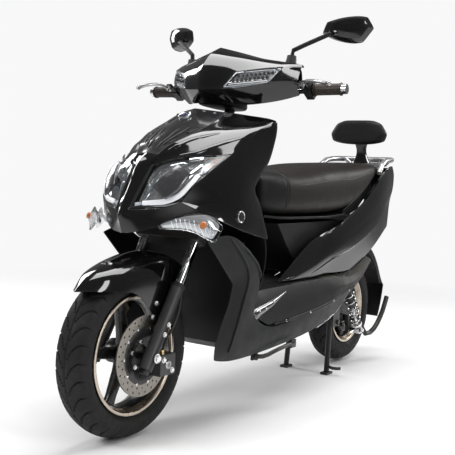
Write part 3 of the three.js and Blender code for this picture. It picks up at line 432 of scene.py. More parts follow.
def skinned(rings, loop=False, wrap=True, caps=True):
    """Faces through rings of points. loop joins the last ring to the first; wrap closes each ring."""
    bm = bmesh.new()
    rings = [[bm.verts.new(p) for p in ring] for ring in rings]
    count = len(rings[0])
    for one, two in zip(rings, rings[1:] + rings[:1] if loop else rings[1:]):
        for k in range(count if wrap else count - 1):
            j = (k + 1) % count
            bm.faces.new((one[k], one[j], two[j], two[k]))
    if caps:
        bm.faces.new(rings[0][::-1])
        bm.faces.new(rings[-1])
    return bm


def sweep(points, radius, sides=10, squeeze=1.0, taper=None, closed=False, up=(0, 0, 1), ups=None):
    """A tube along points. squeeze flattens it along up, or along ups point by point; taper(t) scales it."""
    pts = [Vector(p) for p in points]
    rings = []
    count = len(pts)
    for i, p in enumerate(pts):
        ahead = pts[(i + 1) % count] if closed else pts[min(i + 1, count - 1)]
        behind = pts[i - 1] if closed else pts[max(i - 1, 0)]
        along = (ahead - behind).normalized()
        side = along.cross(Vector(ups[i] if ups else up)).normalized()
        top = side.cross(along)
        size = radius * (taper(i / (count - 1)) if taper else 1)
        rings.append([p + side * cos(a) * size + top * sin(a) * size * squeeze
            for a in (2 * pi * k / sides for k in range(sides))])
    return skinned(rings, loop=closed, caps=not closed)


def tube(name, points, radius, body, material, slot=None, **options):
    return piece(name, sweep(points, radius, **options), body, material, slot=slot)


def turned(profile, centre, axis=(1, 0, 0), sides=64, closed=False):
    """A surface turned about an axis; profile is [radius, height along the axis]."""
    tilt = Vector((0, 0, 1)).rotation_difference(Vector(axis).normalized()).to_matrix()
    rings = [[Vector(centre) + tilt @ Vector((r * cos(a), r * sin(a), h)) for r, h in profile]
        for a in (2 * pi * k / sides for k in range(sides))]
    bm = skinned(rings, loop=True, wrap=closed, caps=False)
    bmesh.ops.remove_doubles(bm, verts=bm.verts, dist=1e-6)
    return bm


def joined(parts):
    """One mesh out of several."""
    first, *rest = parts
    for part in rest:
        scratch = bpy.data.meshes.new("scratch")
        part.to_mesh(scratch)
        part.free()
        first.from_mesh(scratch)
        bpy.data.meshes.remove(scratch)
    return first


def dome(centre, axis, radius, height, sides):
    """A low button, such as a bolt head or a badge, standing on a surface."""
    profile = [(0, -height), (radius, -height), (radius, height * 0.45), (radius * 0.86, height * 0.85),
        (radius * 0.45, height), (0, height)]
    return turned(profile, centre, axis, sides)


def hex_bolt(centre, axis, size):
    """A flanged hexagon head."""
    washer = [(0, 0), (size * 1.25, 0), (size * 1.25, size * 0.18), (0, size * 0.18)]
    head = [(0, size * 0.15), (size, size * 0.15), (size, size * 0.7), (size * 0.82, size * 0.85),
        (0, size * 0.85)]
    return joined([turned(washer, centre, axis, 24), turned(head, centre, axis, 6)])


def around(axle, count, radius, x, phase=0.0):
    """Places on a circle about an axle, x to the left of its middle."""
    angles = [2 * pi * (k + phase) / count for k in range(count)]
    return [axle + Vector((x, radius * sin(a), radius * cos(a))) for a in angles]


def bolts(name, heads, body):
    piece(name, joined(heads), body, "bolt", smooth=35)


# ---------- bodywork ----------
def badge(name, skin, spot, facing, radius, middle, lift=0.0022):
    """A blank round badge in a bright ring."""
    centre = skin.at(spot) + facing * lift
    ring = turned([(radius * 0.8, -0.006), (radius, -0.006), (radius, 0.0012), (radius * 0.92, 0.0024),
        (radius * 0.8, 0.0012)], centre, facing, 48, closed=True)
    piece(name + "_ring", ring, "chassis", "badge", smooth=40)
    disc = turned([(0, -0.006), (radius * 0.79, -0.006), (radius * 0.79, 0.0002), (radius * 0.5, 0.0011),
        (0, 0.0015)], centre, facing, 40)
    piece(name, disc, "chassis", middle, smooth=40)


def dress_front():
    """The nose, its panel and the shield."""
    shell("front_cowl", "paint")
    shell("nose_panel", "paint_grey")
    shell("leg_shield", "satin")
    skin = Skin("nose_panel")
    slots = (((0.014, -0.60, 0.81), (0.03, -0.51, 0.87)), ((0.028, -0.585, 0.81), (0.052, -0.49, 0.865)),
        ((0.042, -0.57, 0.81), (0.074, -0.475, 0.858)))
    for hand, side in SIDES:
        for k, ends in enumerate(slots):
            slot = skin.strip(mirrored(ends, side), 0.0036, 0.35, 0.0006, taper=swell(0.25, 0.5, 0.02))
            piece(f"beak_slot_{hand}_{k}", slot, "chassis", "satin")
        for k, spot in enumerate(((0.03, -0.388, 0.912), (0.06, -0.376, 0.908), (0.09, -0.362, 0.901))):
            at = skin.at(flip(spot, side), 0.0012)
            tooth = turned([(0, -0.003), (0.0062, -0.003), (0.0048, 0.0012), (0, 0.0012)], at,
                skin.normal(at), 3)
            piece(f"neck_vent_{hand}_{k}", tooth, "chassis", "badge", smooth=30)
    cowl_ridges()
    badge("nose_badge", skin, (0.0, -0.441, 0.894), Vector((0, -0.47, 0.883)), 0.0195, "enamel", 0.004)


def cowl_ridges():
    """Two raised lines on each cheek of the cowl, fading out towards the shield."""
    skin = Skin("front_cowl")
    lines = ([(0.038, -0.612, 0.767), (0.066, -0.571, 0.7995), (0.0845, -0.528, 0.821),
        (0.106, -0.487, 0.835), (0.128, -0.444, 0.846)],
        [(0.086, -0.574, 0.778), (0.118, -0.5365, 0.788), (0.141, -0.486, 0.8075), (0.158, -0.437, 0.824),
        (0.1735, -0.383, 0.838)])
    for hand, side in SIDES:
        ridges = [skin.strip(mirrored(line, side), 0.0065, 0.28, -0.0004, 10, swell(0.25, 0.6, 0.01))
            for line in lines]
        piece(f"cowl_ridges_{hand}", joined(ridges), "chassis", "paint", slot="gloss_black", smooth=60)


def dress_sides():
    cowl = Skin("front_cowl")
    for hand, side in SIDES:
        shell(f"side_skirt_{hand}", "skirt")
        shell(f"side_panel_{hand}", "paint")
        skirt_ribs(hand, side)
        trim_line(hand, side)
        cowl_seal(hand, side)
        spot = cowl.at((0.205 * side, -0.4386, 0.6123))
        badge(f"side_badge_{hand}", cowl, spot, cowl.normal(spot), 0.017, "satin")


def cowl_seal(hand, side):
    """A flat rubber seal that closes the seam between the cowl's rear edge and the leg shield."""
    route = [(0.1965, -0.2765, 0.543), (0.1965, -0.3135, 0.615), (0.1965, -0.3313, 0.645),
        (0.1965, -0.3605, 0.697), (0.1965, -0.2895, 0.771), (0.1965, -0.258, 0.835),
        (0.1965, -0.2495, 0.868), (0.196, -0.251, 0.888)]
    seal = sweep(curve_through(mirrored(route, side), 5), 0.0055, 12, 0.6, up=(1, 0, 0))
    piece(f"cowl_seal_{hand}", seal, "chassis", "satin", slot="satin_black")


def skirt_ribs(hand, side):
    """Raised edges that follow the chevron of the skirt, and a silver strip along its rear edge that is a
    painted highlight.
    """
    skin = Skin(f"side_skirt_{hand}")
    ribs = ([(0.2, -0.471, 0.552), (0.205, -0.378, 0.454), (0.2, -0.392, 0.365), (0.196, -0.45, 0.225)],
        [(0.2, -0.402, 0.522), (0.205, -0.312, 0.462), (0.2, -0.304, 0.425)])
    for k, points in enumerate(ribs):
        rib = skin.strip(mirrored(points, side), 0.0055, 0.75, 0.0, 12, swell(0.2, 0.4, 0.01))
        piece(f"skirt_rib_{hand}_{k}", rib, "chassis", "skirt", slot="matte_grey")
    # Silver strip along the skirt's rear edge: a painted highlight where the glossy edge catches the light.
    rear = skin.strip(mirrored(((0.16, 0.16, 0.206), (0.15, 0.31, 0.246), (0.145, 0.40, 0.3),
        (0.14, 0.49, 0.35), (0.137, 0.57, 0.4)), side), 0.0032, 0.6, 0.0012, 10)
    piece(f"skirt_painted_highlight_{hand}", rear, "chassis", "silver", slot="silver")


def trim_line(hand, side):
    """A black strip with screws where the skirt meets the footboard."""
    skin = Skin("floorboard")
    route = [(0.19, -0.2, 0.272), (0.19, -0.062, 0.279), (0.192, 0.13, 0.296), (0.186, 0.31, 0.325),
        (0.175, 0.40, 0.342), (0.15, 0.55, 0.4)]
    path = skin.path(mirrored(route, side), 0.0016, 8)
    strip = skin.strip(mirrored(route, side), 0.0055, 0.4, 0.0012)
    piece(f"trim_{hand}", strip, "chassis", "satin", slot="satin_black")
    screws = [dome(skin.at(path[k], 0.002), flip((1, 0, 0.1), side), 0.004, 0.002, 12)
        for k in range(5, len(path), 7)]
    piece(f"trim_screws_{hand}", joined(screws), "chassis", "bolt", smooth=40)


def step_or_floor(c, n):
    """1 on top of the raised passenger steps, 0 elsewhere."""
    return 1 if abs(c.x) > 0.1 and c.y > 0.2 and n.z > 0.5 else 0


def dress_floor():
    hard("floorboard", "satin", "step", sharp=25, width=0.002, paint=step_or_floor)
    hard("belly_pan", "satin", sharp=25, width=0.002)
    hard("storage_tub", "satin", width=0.002)
    ridges = []
    for y in (-0.225 + 0.0165 * k for k in range(17)):
        route = curve_through([(-0.115, y, 0.3885), (0, y, 0.3893), (0.115, y, 0.3885)], 10)
        ridges.append(sweep(route, 0.0032, 8, 0.7))
    piece("footboard_ridges", joined(ridges), "chassis", "satin", slot="satin_black")
    skin = Skin("floorboard")
    for hand, side in SIDES:
        hollow = skin.strip(mirrored(((0.15, 0.30, 0.38), (0.146, 0.40, 0.383)), side), 0.009, 0.12, 0.0006,
            10, swell(0.4, 0.3, 0.05))
        piece(f"step_slot_{hand}", hollow, "chassis", "satin")
        floor_lamp(hand, side, skin)


def floor_lamp(hand, side, skin):
    """A tear-shaped lamp at the front corner of the footboard, blunt end forward."""
    route = mirrored(((0.186, -0.318, 0.314), (0.184, -0.285, 0.321), (0.1825, -0.235, 0.3315),
        (0.1775, -0.17, 0.347), (0.171, -0.105, 0.3635)), side)

    def drop(t):
        return max(0.08, min(1.0, (1 - t) * 1.25, (t + 0.02) * 7) ** 0.75)

    edge = skin.strip(route, 0.016, 0.3, 0.0012, 8, drop, 20)
    piece(f"floor_lamp_rim_{hand}", edge, "chassis", "lever", smooth=60)
    cover = skin.strip(route, 0.0126, 0.42, 0.0026, 8, drop, 20)
    piece(f"floor_lamp_{hand}", cover, "chassis", "smoke", slot="lens_clear", smooth=60)
    spots = [dome(skin.at(flip(p, side), 0.0074), skin.normal(flip(p, side)), 0.0026, 0.0016, 12)
        for p in ((0.184, -0.285, 0.325), (0.183, -0.245, 0.327), (0.179, -0.195, 0.342))]
    piece(f"floor_lamp_cells_{hand}", joined(spots), "chassis", "guide", smooth=40)


def dress_covers():
    """Handlebar covers, steering shroud and the round dash."""
    shell("bar_cover_front", "paint")
    shell("bar_cover_rear", "satin")
    shell("steering_shroud", "satin", sharp=50)
    face = Skin("bar_cover_rear")
    spot = face.at((0, -0.175, 1.067))
    facing = Vector((0, 0.55, 0.835))
    glass = turned([(0, -0.02), (0.04, -0.02), (0.04, 0.0085), (0.037, 0.01), (0, 0.0092)], spot, facing, 48)
    piece("dash_screen", glass, "steering", "screen", smooth=40)
    hood = turned([(0.0405, -0.02), (0.048, -0.02), (0.0475, 0.012), (0.044, 0.0145), (0.0405, 0.011)],
        spot, facing, 48, closed=True)
    piece("dash_ring", hood, "steering", "satin", smooth=40)


# ---------- lamps ----------
def tray(node, depth, name, material, amber=None):
    """The lining behind a lens: the lens drawn inwards by depth, closed, seen through it."""
    bm = node_bmesh(node)
    lo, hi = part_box(node)
    middle = (lo + hi) / 2
    for v in bm.verts:
        v.co = middle + (v.co - middle) * 0.93
        v.co += depth
    if amber:
        for face in bm.faces:
            face.material_index = 1 if amber(face.calc_center_median()) else 0
    obj = piece(name, bm, BODY_OF[node], material, "amber")
    modifier(obj, "SUBSURF", levels=1, render_levels=1)


def bowl(centre, facing, radius, depth):
    """A reflector bowl with a solid back."""
    profile = [(radius * 1.06, 0.0), (radius, 0.0)]
    profile += [(radius * k / 6, -depth * (1 - (k / 6) ** 2)) for k in range(5, -1, -1)]
    profile += [(0, -depth - 0.004), (radius * 0.7, -depth * 0.6 - 0.004), (radius * 1.06, -0.004)]
    return turned(profile, centre, facing, 40)


def rim_strips(name, skin, corners, body, material, width, lift):
    """A narrow border along the edges between corners, lying on the surface."""
    sides = [skin.strip([a, (Vector(a) + Vector(b)) / 2, b], width, 0.5, lift, 10)
        for a, b in zip(corners, corners[1:] + corners[:1])]
    piece(name, joined(sides), body, material)


HEADLIGHT_LOBES = (
    ([(0.05, -0.682, 0.662), (0.056, -0.655, 0.7), (0.062, -0.63, 0.735)], 0.0085),
    ([(0.112, -0.62, 0.682), (0.13, -0.583, 0.712), (0.142, -0.545, 0.742)], 0.0075),
    ([(0.068, -0.622, 0.748), (0.1, -0.585, 0.757), (0.135, -0.535, 0.765)], 0.006),
)


def headlights():
    for hand, side in SIDES:
        node = f"headlight_{hand}"
        skin = Skin(node)
        shell(node, "clear")
        inward = Vector((-0.006 * side, 0.02, -0.002))
        tray(node, inward, f"headlight_tray_{hand}", "lamp_silver_painted_reflection", amber=lambda c: c.y > -0.512)
        corners = mirrored([(0.0235, -0.702, 0.630), (0.134, -0.634, 0.656), (0.174, -0.458, 0.782),
            (0.0325, -0.628, 0.745)], side)
        rim_strips(f"headlight_bezel_{hand}", skin, corners, "chassis", "satin", 0.0042, 0.0002)
        hollow = [(0.08, -0.65, 0.668), (0.1, -0.612, 0.70), (0.112, -0.588, 0.728)]
        pocket = skin.strip(mirrored(hollow, side), 0.03, 0.25, -0.0135, 8, swell(0.85), 20)
        piece(f"headlight_pocket_{hand}", pocket, "chassis", "bezel")
        lobes = [skin.strip(mirrored(line, side), width, 0.5, -0.0082, 8, swell(0.7), 14)
            for line, width in HEADLIGHT_LOBES]
        piece(f"headlight_lobes_{hand}", joined(lobes), "chassis", "reflector", smooth=60)
        spot = skin.at(flip((0.086, -0.64, 0.694), side), -0.0025)
        facing = (skin.normal(spot) + Vector((0, -1.2, 0))).normalized()
        piece(f"headlight_bowl_{hand}", bowl(spot, facing, 0.0185, 0.013), "chassis", "reflector",
            smooth=40)
        eye = dome(spot - facing * 0.008, facing, 0.0115, 0.0075, 24)
        piece(f"headlight_eye_{hand}", eye, "chassis", "smoke", smooth=60)
        low = mirrored([(0.03, -0.694, 0.642), (0.062, -0.67, 0.644), (0.1, -0.646, 0.650),
            (0.13, -0.622, 0.668), (0.146, -0.588, 0.7), (0.158, -0.545, 0.737)], side)
        guide = skin.strip(low, 0.0078, 0.25, -0.0058, 8, swell(0.75))
        piece(f"headlight_guide_{hand}", guide, "chassis", "guide")


def turn_signals():
    for hand, side in SIDES:
        node = f"turn_signal_{hand}"
        skin = Skin(node)
        shell(node, "clear")
        tray(node, Vector((-0.012 * side, 0.014, 0.002)), f"turn_signal_tray_{hand}", "lamp_silver_painted_reflection")
        spot = skin.at(flip((0.198, -0.61, 0.592), side), -0.0088)
        bulb = dome(spot, skin.normal(spot), 0.0095, 0.0062, 24)
        piece(f"turn_signal_bulb_{hand}", bulb, "chassis", "amber", smooth=60)
        fins = [skin.strip([flip((x, -0.66 + (x - 0.1) * 0.5, 0.605), side),
            flip((x + 0.012, -0.645 + (x - 0.1) * 0.5, 0.565), side)], 0.0012, 0.7, -0.0068, 5)
            for x in (0.12 + 0.011 * k for k in range(9))]
        piece(f"turn_signal_fins_{hand}", joined(fins), "chassis", "reflector", smooth=40)


def day_lamps():
    for hand, side in SIDES:
        node = f"day_lamp_{hand}"
        skin = Skin(node)
        shell(node, "clear", sharp=40)
        tray(node, Vector((-0.003 * side, 0.011, -0.001)), f"day_lamp_tray_{hand}", "lamp_silver_painted_reflection")
        lower = [(0.07, -0.349, 0.986), (0.165, -0.262, 1.007)]
        upper = [(0.096, -0.326, 1.029), (0.194, -0.234, 1.049)]
        corners = mirrored(lower + upper[::-1], side)
        # Faintly glowing white strips round the lens: painted highlights along the lamp's edges.
        rim_strips(f"day_lamp_painted_edge_highlight_{hand}", skin, corners, "steering", "guide", 0.0016, 0.0004)

        def between(t, u):
            """A point t along and u up the lamp's face."""
            low, high = ([a + (b - a) * t for a, b in zip(*edge)] for edge in (lower, upper))
            return [a + (b - a) * u for a, b in zip(low, high)]

        cells = []
        for k in range(9):
            for row, u in ((0, 0.4), (1, 0.7)):
                spot = skin.at(flip(between(0.1 + k * 0.095 + 0.04 * row, u), side), -0.0062)
                cells.append(turned([(0, -0.004), (0.0052, -0.004), (0.0052, 0.0002), (0.0042, 0.0004),
                    (0.002, -0.0016), (0, -0.002)], spot, skin.normal(spot), 4))
        piece(f"day_lamp_cells_{hand}", joined(cells), "steering", "led", smooth=20)
        shelf = skin.strip(mirrored([between(t, 0.2) for t in (0.04, 0.5, 0.92)], side), 0.0035, 0.4, -0.005)
        piece(f"day_lamp_shelf_{hand}", shelf, "steering", "reflector")


def tail_lamp():
    shell("tail_light", "red", "satin", paint=lambda c, n: 1 if n.y < 0.15 else 0)
    lo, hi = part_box("tail_light")
    shell("rear_fender", "satin")
    flap = Skin("rear_fender")
    spot = flap.at((0, 0.9, 0.25), 0.001)
    piece("rear_reflex", dome(spot, flap.normal(spot), 0.022, 0.003, 40), "chassis", "reflex", smooth=40)
    lamp = [(-0.03, hi.y - 0.02, lo.z - 0.006), (0, hi.y - 0.016, lo.z - 0.006),
        (0.03, hi.y - 0.02, lo.z - 0.006)]
    tube("plate_lamp", curve_through(lamp, 6), 0.007, "chassis", "satin")


# ---------- wheels ----------
TYRE_STEPS = 900


def tyre_piece(node, body, axle, pattern):
    """A tyre with real grooves: a dense turned grid, cut where a curved sipe or the centre line runs."""
    lo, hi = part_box(node)
    outer, half = (hi.z - lo.z) / 2, hi.x
    bead = outer * pattern["bead"]
    rise = outer - bead
    side = [(bead + 0.0018, half * 0.7), (bead + rise * 0.14, half * 0.79), (bead + rise * 0.26, half * 0.94),
        (bead + rise * 0.5, half * 0.995), (outer - rise * 0.2, half * 0.87), (outer - 0.0035, half * 0.44)]
    crown = [Vector((r, -x, 0)) for r, x in side] + [Vector((outer - 0.0002, 0, 0))]
    crown += [Vector((r, x, 0)) for r, x in reversed(side)]
    profile = [(p.x, p.y) for p in curve_through(crown, 6)]
    inner = bead + rise * 0.35
    lining = [(bead + 0.0018, half * 0.5), (inner, half * 0.5), (inner, -half * 0.5),
        (bead + 0.0018, -half * 0.5)]
    rings = []
    for k in range(TYRE_STEPS):
        a = 2 * pi * k / TYRE_STEPS
        cut = [(r - groove_depth(a, x / half, (r - bead) / rise, pattern), x) for r, x in profile]
        rings.append([(x, axle.y + r * sin(a), axle.z + r * cos(a)) for r, x in cut + lining])
    bm = skinned(rings, loop=True, caps=False)
    obj = piece(node + "_tread", bm, body, "tyre", slot="tyre", smooth=55)
    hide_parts(node)


def groove_depth(angle, across, height, pattern):
    """How deep the tread is cut at a point; curved sipes lean back from the centre to the shoulder."""
    if height < 0.36:
        return -0.0007 if 0.20 < height < 0.235 else 0.0
    depth = 0.0028 if abs(across) < 0.035 else 0.0
    lean = pattern["lean"] * (abs(across) - 0.62 * across * across)
    offset = 0.5 if across > 0 else 0.0
    turns = ((angle - lean) / (2 * pi) * pattern["sipes"] + offset) % 1.0
    reach = pattern["start"] < abs(across) < 1.2 and height > 0.45
    if reach and min(turns, 1 - turns) < pattern["width"]:
        depth = max(depth, 0.0045 * min(1, (height - 0.42) * 4))
    return depth


def spoke(inner, outer, angle, root, tip, thick, centre):
    """A tapering spoke with rounded edges, flared where it meets the rim."""
    rings = []
    for k in range(9):
        t = k / 8
        width = root + (tip - root) * t + 0.012 * max(0, t - 0.8) / 0.2 + 0.01 * max(0, 0.2 - t) / 0.2
        ring = []
        for j in range(16):
            a = 2 * pi * j / 16
            u = copysign(abs(cos(a)) ** 0.6, cos(a)) * thick / 2 * (1.25 - 0.35 * t)
            w = copysign(abs(sin(a)) ** 0.6, sin(a)) * width / 2
            spot = Vector((u, w, inner + (outer - inner) * t))
            ring.append(centre + Matrix.Rotation(angle, 3, "X") @ spot)
        rings.append(ring)
    return skinned(rings)


def rim_piece(node, body, axle, hub, count, turn, **shape):
    """A rim ring with bright lips, its hub and its spokes, as one casting."""
    lo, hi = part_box(node)
    outer = (hi.z - lo.z) / 2
    seat, half = outer - 0.005, RIM_HALF[node]
    lip = half * 0.85
    flank = [(seat - 0.01, half * 0.45), (seat, half * 0.76), (seat + 0.005, half * 0.8), (seat + 0.005, lip),
        (seat + 0.001, lip + 0.0006), (seat - 0.004, lip - 0.0004), (seat - 0.008, lip - 0.006),
        (seat - 0.013, half * 0.5), (seat - 0.0175, half * 0.36)]
    ring = flank + [(r, -x) for r, x in reversed(flank)]
    bm = turned(ring, axle, sides=96, closed=True)
    for face in bm.faces:
        middle = face.calc_center_median() - axle
        r = hypot(middle.y, middle.z)
        if r > seat - 0.0145 and abs(middle.x) > half * 0.5:
            face.material_index = 1
    parts = [bm, turned(hub, axle, sides=64)]
    parts += [spoke(angle=2 * pi * k / count + turn, outer=seat - 0.012, centre=axle, **shape)
        for k in range(count)]
    obj = piece(node + "_casting", joined(parts), body, "rim", "lip", slot="rim_black", smooth=38)
    rounded(obj, 0.0012, 38)
    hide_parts(node)


def disc_piece(axle):
    """Brake disc with two staggered rows of drilled holes on a black carrier."""
    lo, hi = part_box("brake_disc")
    radius, face = (hi.z - lo.z) / 2, hi.x
    plate = turned([(0.078, face - 0.004), (radius, face - 0.004), (radius, face), (0.078, face)], axle,
        sides=128, closed=True)
    blank = piece("disc_blank", plate, "front_wheel", "steel")
    bore = [(0, -0.005), (0.003, -0.005), (0.003, 0.005), (0, 0.005)]
    spots = around(axle, 24, 0.0875, face - 0.002) + around(axle, 24, 0.1015, face - 0.002, 0.5)
    drills = [turned(bore, spot, sides=12) for spot in spots]
    tool = piece("disc_drills", joined(drills), "front_wheel", "steel")
    cutter = modifier(blank, "BOOLEAN", object=tool, operation="DIFFERENCE", solver="EXACT")
    bpy.context.view_layer.update()
    graph = bpy.context.evaluated_depsgraph_get()
    drilled = bpy.data.meshes.new_from_object(blank.evaluated_get(graph))
    blank.modifiers.remove(cutter)
    for scratch in (blank, tool):
        bpy.data.objects.remove(scratch)
    bm = bmesh.new()
    bm.from_mesh(drilled)
    disc = piece("brake_disc_plate", bm, "front_wheel", "steel", slot="disc_steel", smooth=30)
    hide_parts("brake_disc")
    profile = [(0.03, 0.0505), (0.044, 0.0505), (0.062, face - 0.006), (0.0815, face - 0.0055),
        (0.0815, face - 0.0043), (0.077, face + 0.0006), (0.06, face + 0.0012), (0.042, 0.057), (0.03, 0.057)]
    piece("disc_carrier", turned(profile, axle, sides=72, closed=True), "front_wheel", "rim",
        slot="rim_black", smooth=35)
    heads = [hex_bolt(spot, (1, 0, 0), 0.0052) for spot in around(axle, 5, 0.037, 0.0562)]
    bobbins = [dome(spot, (1, 0, 0), 0.004, 0.0009, 16) for spot in around(axle, 10, 0.0775, face, 0.5)]
    bolts("disc_bolts", heads + bobbins, "front_wheel")


def wheels():
    tyre_piece("front_tyre", "front_wheel", FRONT_AXLE,
        {"bead": 163 / 233, "sipes": 30, "lean": 0.62, "width": 0.05, "start": 0.12})
    tyre_piece("rear_tyre", "rear_wheel", REAR_AXLE,
        {"bead": 128 / 205, "sipes": 26, "lean": 0.68, "width": 0.055, "start": 0.12})
    hub = [(0.0086, -0.05), (0.026, -0.05), (0.034, -0.046), (0.034, -0.03), (0.03, -0.02), (0.03, 0.02),
        (0.034, 0.03), (0.034, 0.0495), (0.0086, 0.0495)]
    rim_piece("front_rim", "front_wheel", FRONT_AXLE, hub + hub[:1], count=5, turn=0.2, inner=0.026,
        root=0.036, tip=0.024, thick=0.026)
    cover = [(0.0086, 0.046), (0.05, 0.0455), (0.078, 0.042), (0.09, 0.034), (0.092, 0.026)]
    motor = [(r, -x) for r, x in cover] + cover[::-1]
    rim_piece("rear_rim", "rear_wheel", REAR_AXLE, motor + motor[:1], count=6, turn=0.1, inner=0.08,
        root=0.04, tip=0.03, thick=0.034)
    disc_piece(FRONT_AXLE)
    fins = [turned([(0.056, s * 0.0452), (0.074, s * 0.0432), (0.074, s * 0.0448), (0.056, s * 0.0468)],
        REAR_AXLE, sides=72, closed=True) for s in (-1, 1)]
    piece("motor_cover_rings", joined(fins), "rear_wheel", "alloy", smooth=40)
    screws = [hex_bolt(spot, (s, 0, 0), 0.0038) for s in (-1, 1)
        for spot in around(REAR_AXLE, 8, 0.064, s * 0.0456)]
    bolts("motor_screws", screws, "rear_wheel")


# ---------- fork, brake and rear suspension ----------
def is_stanchion(c):
    """Whether a face of the yoke belongs to a bright fork tube below the lower clamp."""
    return abs(c.x) > 0.07 and (c - steer(c.x, -0.036, 0.33)).z < -0.004


def front_end():
    hard("fork_yoke", "chrome", "frame", sharp=50, paint=lambda c, n: 0 if is_stanchion(c) else 1)
    hard("fork_sliders", "caliper", sharp=50)
    shell("front_fender", "paint")
    hard("brake_caliper", "caliper", sharp=35, width=0.004)
    lo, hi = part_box("brake_caliper")
    middle = (lo + hi) / 2
    bolts("caliper_bolts", [hex_bolt(Vector((hi.x, middle.y + dy, middle.z + dz)), (1, 0, 0), 0.0065)
        for dy, dz in ((-0.02, 0.016), (0.018, -0.017))], "fork_lower")
    cap = turned([(0, -0.002), (0.0125, -0.002), (0.0125, 0.002), (0.0105, 0.0036), (0.006, 0.0036),
        (0.005, 0.0022), (0, 0.0022)], Vector((hi.x, middle.y, middle.z)))
    piece("caliper_cap", cap, "fork_lower", "lever", smooth=35)
    fitting = Vector((hi.x - 0.012, lo.y + 0.02, hi.z + 0.004))
    piece("hose_fitting", joined([dome(fitting, (0, 0, 1), 0.0065, 0.005, 20),
        hex_bolt(fitting + Vector((0, 0, 0.004)), (0, 0, 1), 0.0055)]), "fork_lower", "brass", smooth=35)
    hose = curve_through([fitting + Vector((0, 0, 0.006)), fitting + Vector((0.01, 0.012, 0.05)),
        steer(0.112, -0.018, 0.06), steer(0.114, -0.02, 0.12), steer(0.105, -0.03, 0.18)], 8)
    tube("brake_hose", hose, 0.0034, "fork_lower", "hose", slot="satin_black")
    skin = Skin("front_fender")
    for hand, side in SIDES:
        seal = turned([(0.0148, 0.184), (0.0205, 0.184), (0.0205, 0.192), (0.017, 0.1965), (0.0148, 0.1965)],
            steer(0.092 * side, -0.036, 0), STEM, 40, closed=True)
        piece(f"fork_seal_{hand}", seal, "fork_lower", "hose", smooth=40)
        heads = []
        for y, z in ((-0.636, 0.372), (-0.652, 0.336)):
            spot = skin.at((0.075 * side, y, z), 0.0005)
            heads.append(hex_bolt(spot, skin.normal(spot), 0.0058))
        for back, up in ((-0.036, 0.075), (-0.036, 0.045)):
            heads.append(hex_bolt(steer(0.1105 * side, back, up), (side, 0, 0), 0.0055))
        bolts(f"fender_bolts_{hand}", heads, "fork_lower")
        nut = hex_bolt(FRONT_AXLE + Vector((0.1135 * side, 0, 0)), (side, 0, 0), 0.0105)
        bolts(f"front_axle_nut_{hand}", [nut], "fork_lower")


SHOCK_TOP = Vector((0.104, 0.442, 0.384))
SHOCK_FOOT = Vector((0.104, 0.602, 0.14))
COIL_START, COIL_END, COIL_TURNS = 0.049, 0.2515, 6.5


def rear_end():
    hard("swingarm", "frame", sharp=62, width=0.0015)
    for hand, side in SIDES:
        hard(f"shock_upper_{hand}", "caliper", sharp=50)
        hard(f"shock_lower_{hand}", "bolt", sharp=50)
        top, foot = flip(SHOCK_TOP, side), flip(SHOCK_FOOT, side)
        down = (foot - top).normalized()
        sideways = Vector((1, 0, 0))
        back = down.cross(sideways)
        coil = []
        for k in range(int(COIL_TURNS * 28) + 1):
            a = 2 * pi * k / 28
            drop = COIL_START + (COIL_END - COIL_START) * k / (COIL_TURNS * 28)
            coil.append(top + down * drop + (sideways * cos(a) + back * sin(a)) * 0.019)
        spring = tube(f"shock_coil_{hand}", coil, 0.0034, f"shock_upper_{hand}", "chrome",
            slot="fork_chrome", sides=8, up=tuple(down))
        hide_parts(f"shock_spring_{hand}")
        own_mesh(spring)
        collar = turned([(0.0135, 0.0375), (0.024, 0.0375), (0.024, 0.04), (0.0135, 0.04)], top, down, 40,
            closed=True)
        piece(f"shock_collar_{hand}", collar, f"shock_upper_{hand}", "bolt", smooth=40)
        for name, end, out, body in (("top", top, 0.0185, "chassis"), ("foot", foot, 0.0165, "swingarm")):
            head = hex_bolt(end + Vector((out * side, 0, 0)), (side, 0, 0), 0.008)
            bolts(f"shock_bolt_{name}_{hand}", [head], body)
        nut = hex_bolt(REAR_AXLE + Vector((0.073 * side, 0, 0)), (side, 0, 0), 0.012)
        bolts(f"rear_axle_nut_{hand}", [nut], "swingarm")
    lead = curve_through([(-0.075, 0.63, 0.218), (-0.088, 0.56, 0.23), (-0.084, 0.46, 0.262),
        (-0.08, 0.385, 0.272)], 8)
    tube("motor_lead", lead, 0.0045, "swingarm", "hose")


# ---------- seat, backrest and rail ----------
def section_ring(node, y):
    """The CAD cushion's section at y, in order round its middle."""
    points = [v.co.copy() for v in frame["nodes"][node].data.vertices if abs(v.co.y - y) < 0.0005]
    middle = sum(points, Vector()) / len(points)
    unique = {}
    for p in points:
        a = round(atan2(p.z - middle.z, p.x - middle.x), 3)
        if (p - middle).length > 0.01:
            unique[a] = p
    return [unique[a] for a in sorted(unique)]


def cushion(node, material, body, seam_y=None, hold=0.0):
    """An upholstered block: round all over, with only the seam end and the underside held."""
    bm = node_bmesh(node)
    layer = bm.edges.layers.float.new("crease_edge")
    lo = min(v.co.z for v in bm.verts)
    for edge in bm.edges:
        middle = (edge.verts[0].co + edge.verts[1].co) / 2
        bend = edge.calc_face_angle(0)
        if seam_y is not None and abs(middle.y - seam_y) < 0.001 and bend > 0.5:
            edge[layer] = 0.62
        elif middle.z < lo + 0.012 and bend > 0.4:
            edge[layer] = 0.4
        elif bend > 0.35:
            edge[layer] = hold
    obj = piece(node + "_cover", bm, body, material, slot=SLOT_OF[node], smooth=180)
    modifier(obj, "SUBSURF", levels=3, render_levels=3)
    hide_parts(node)


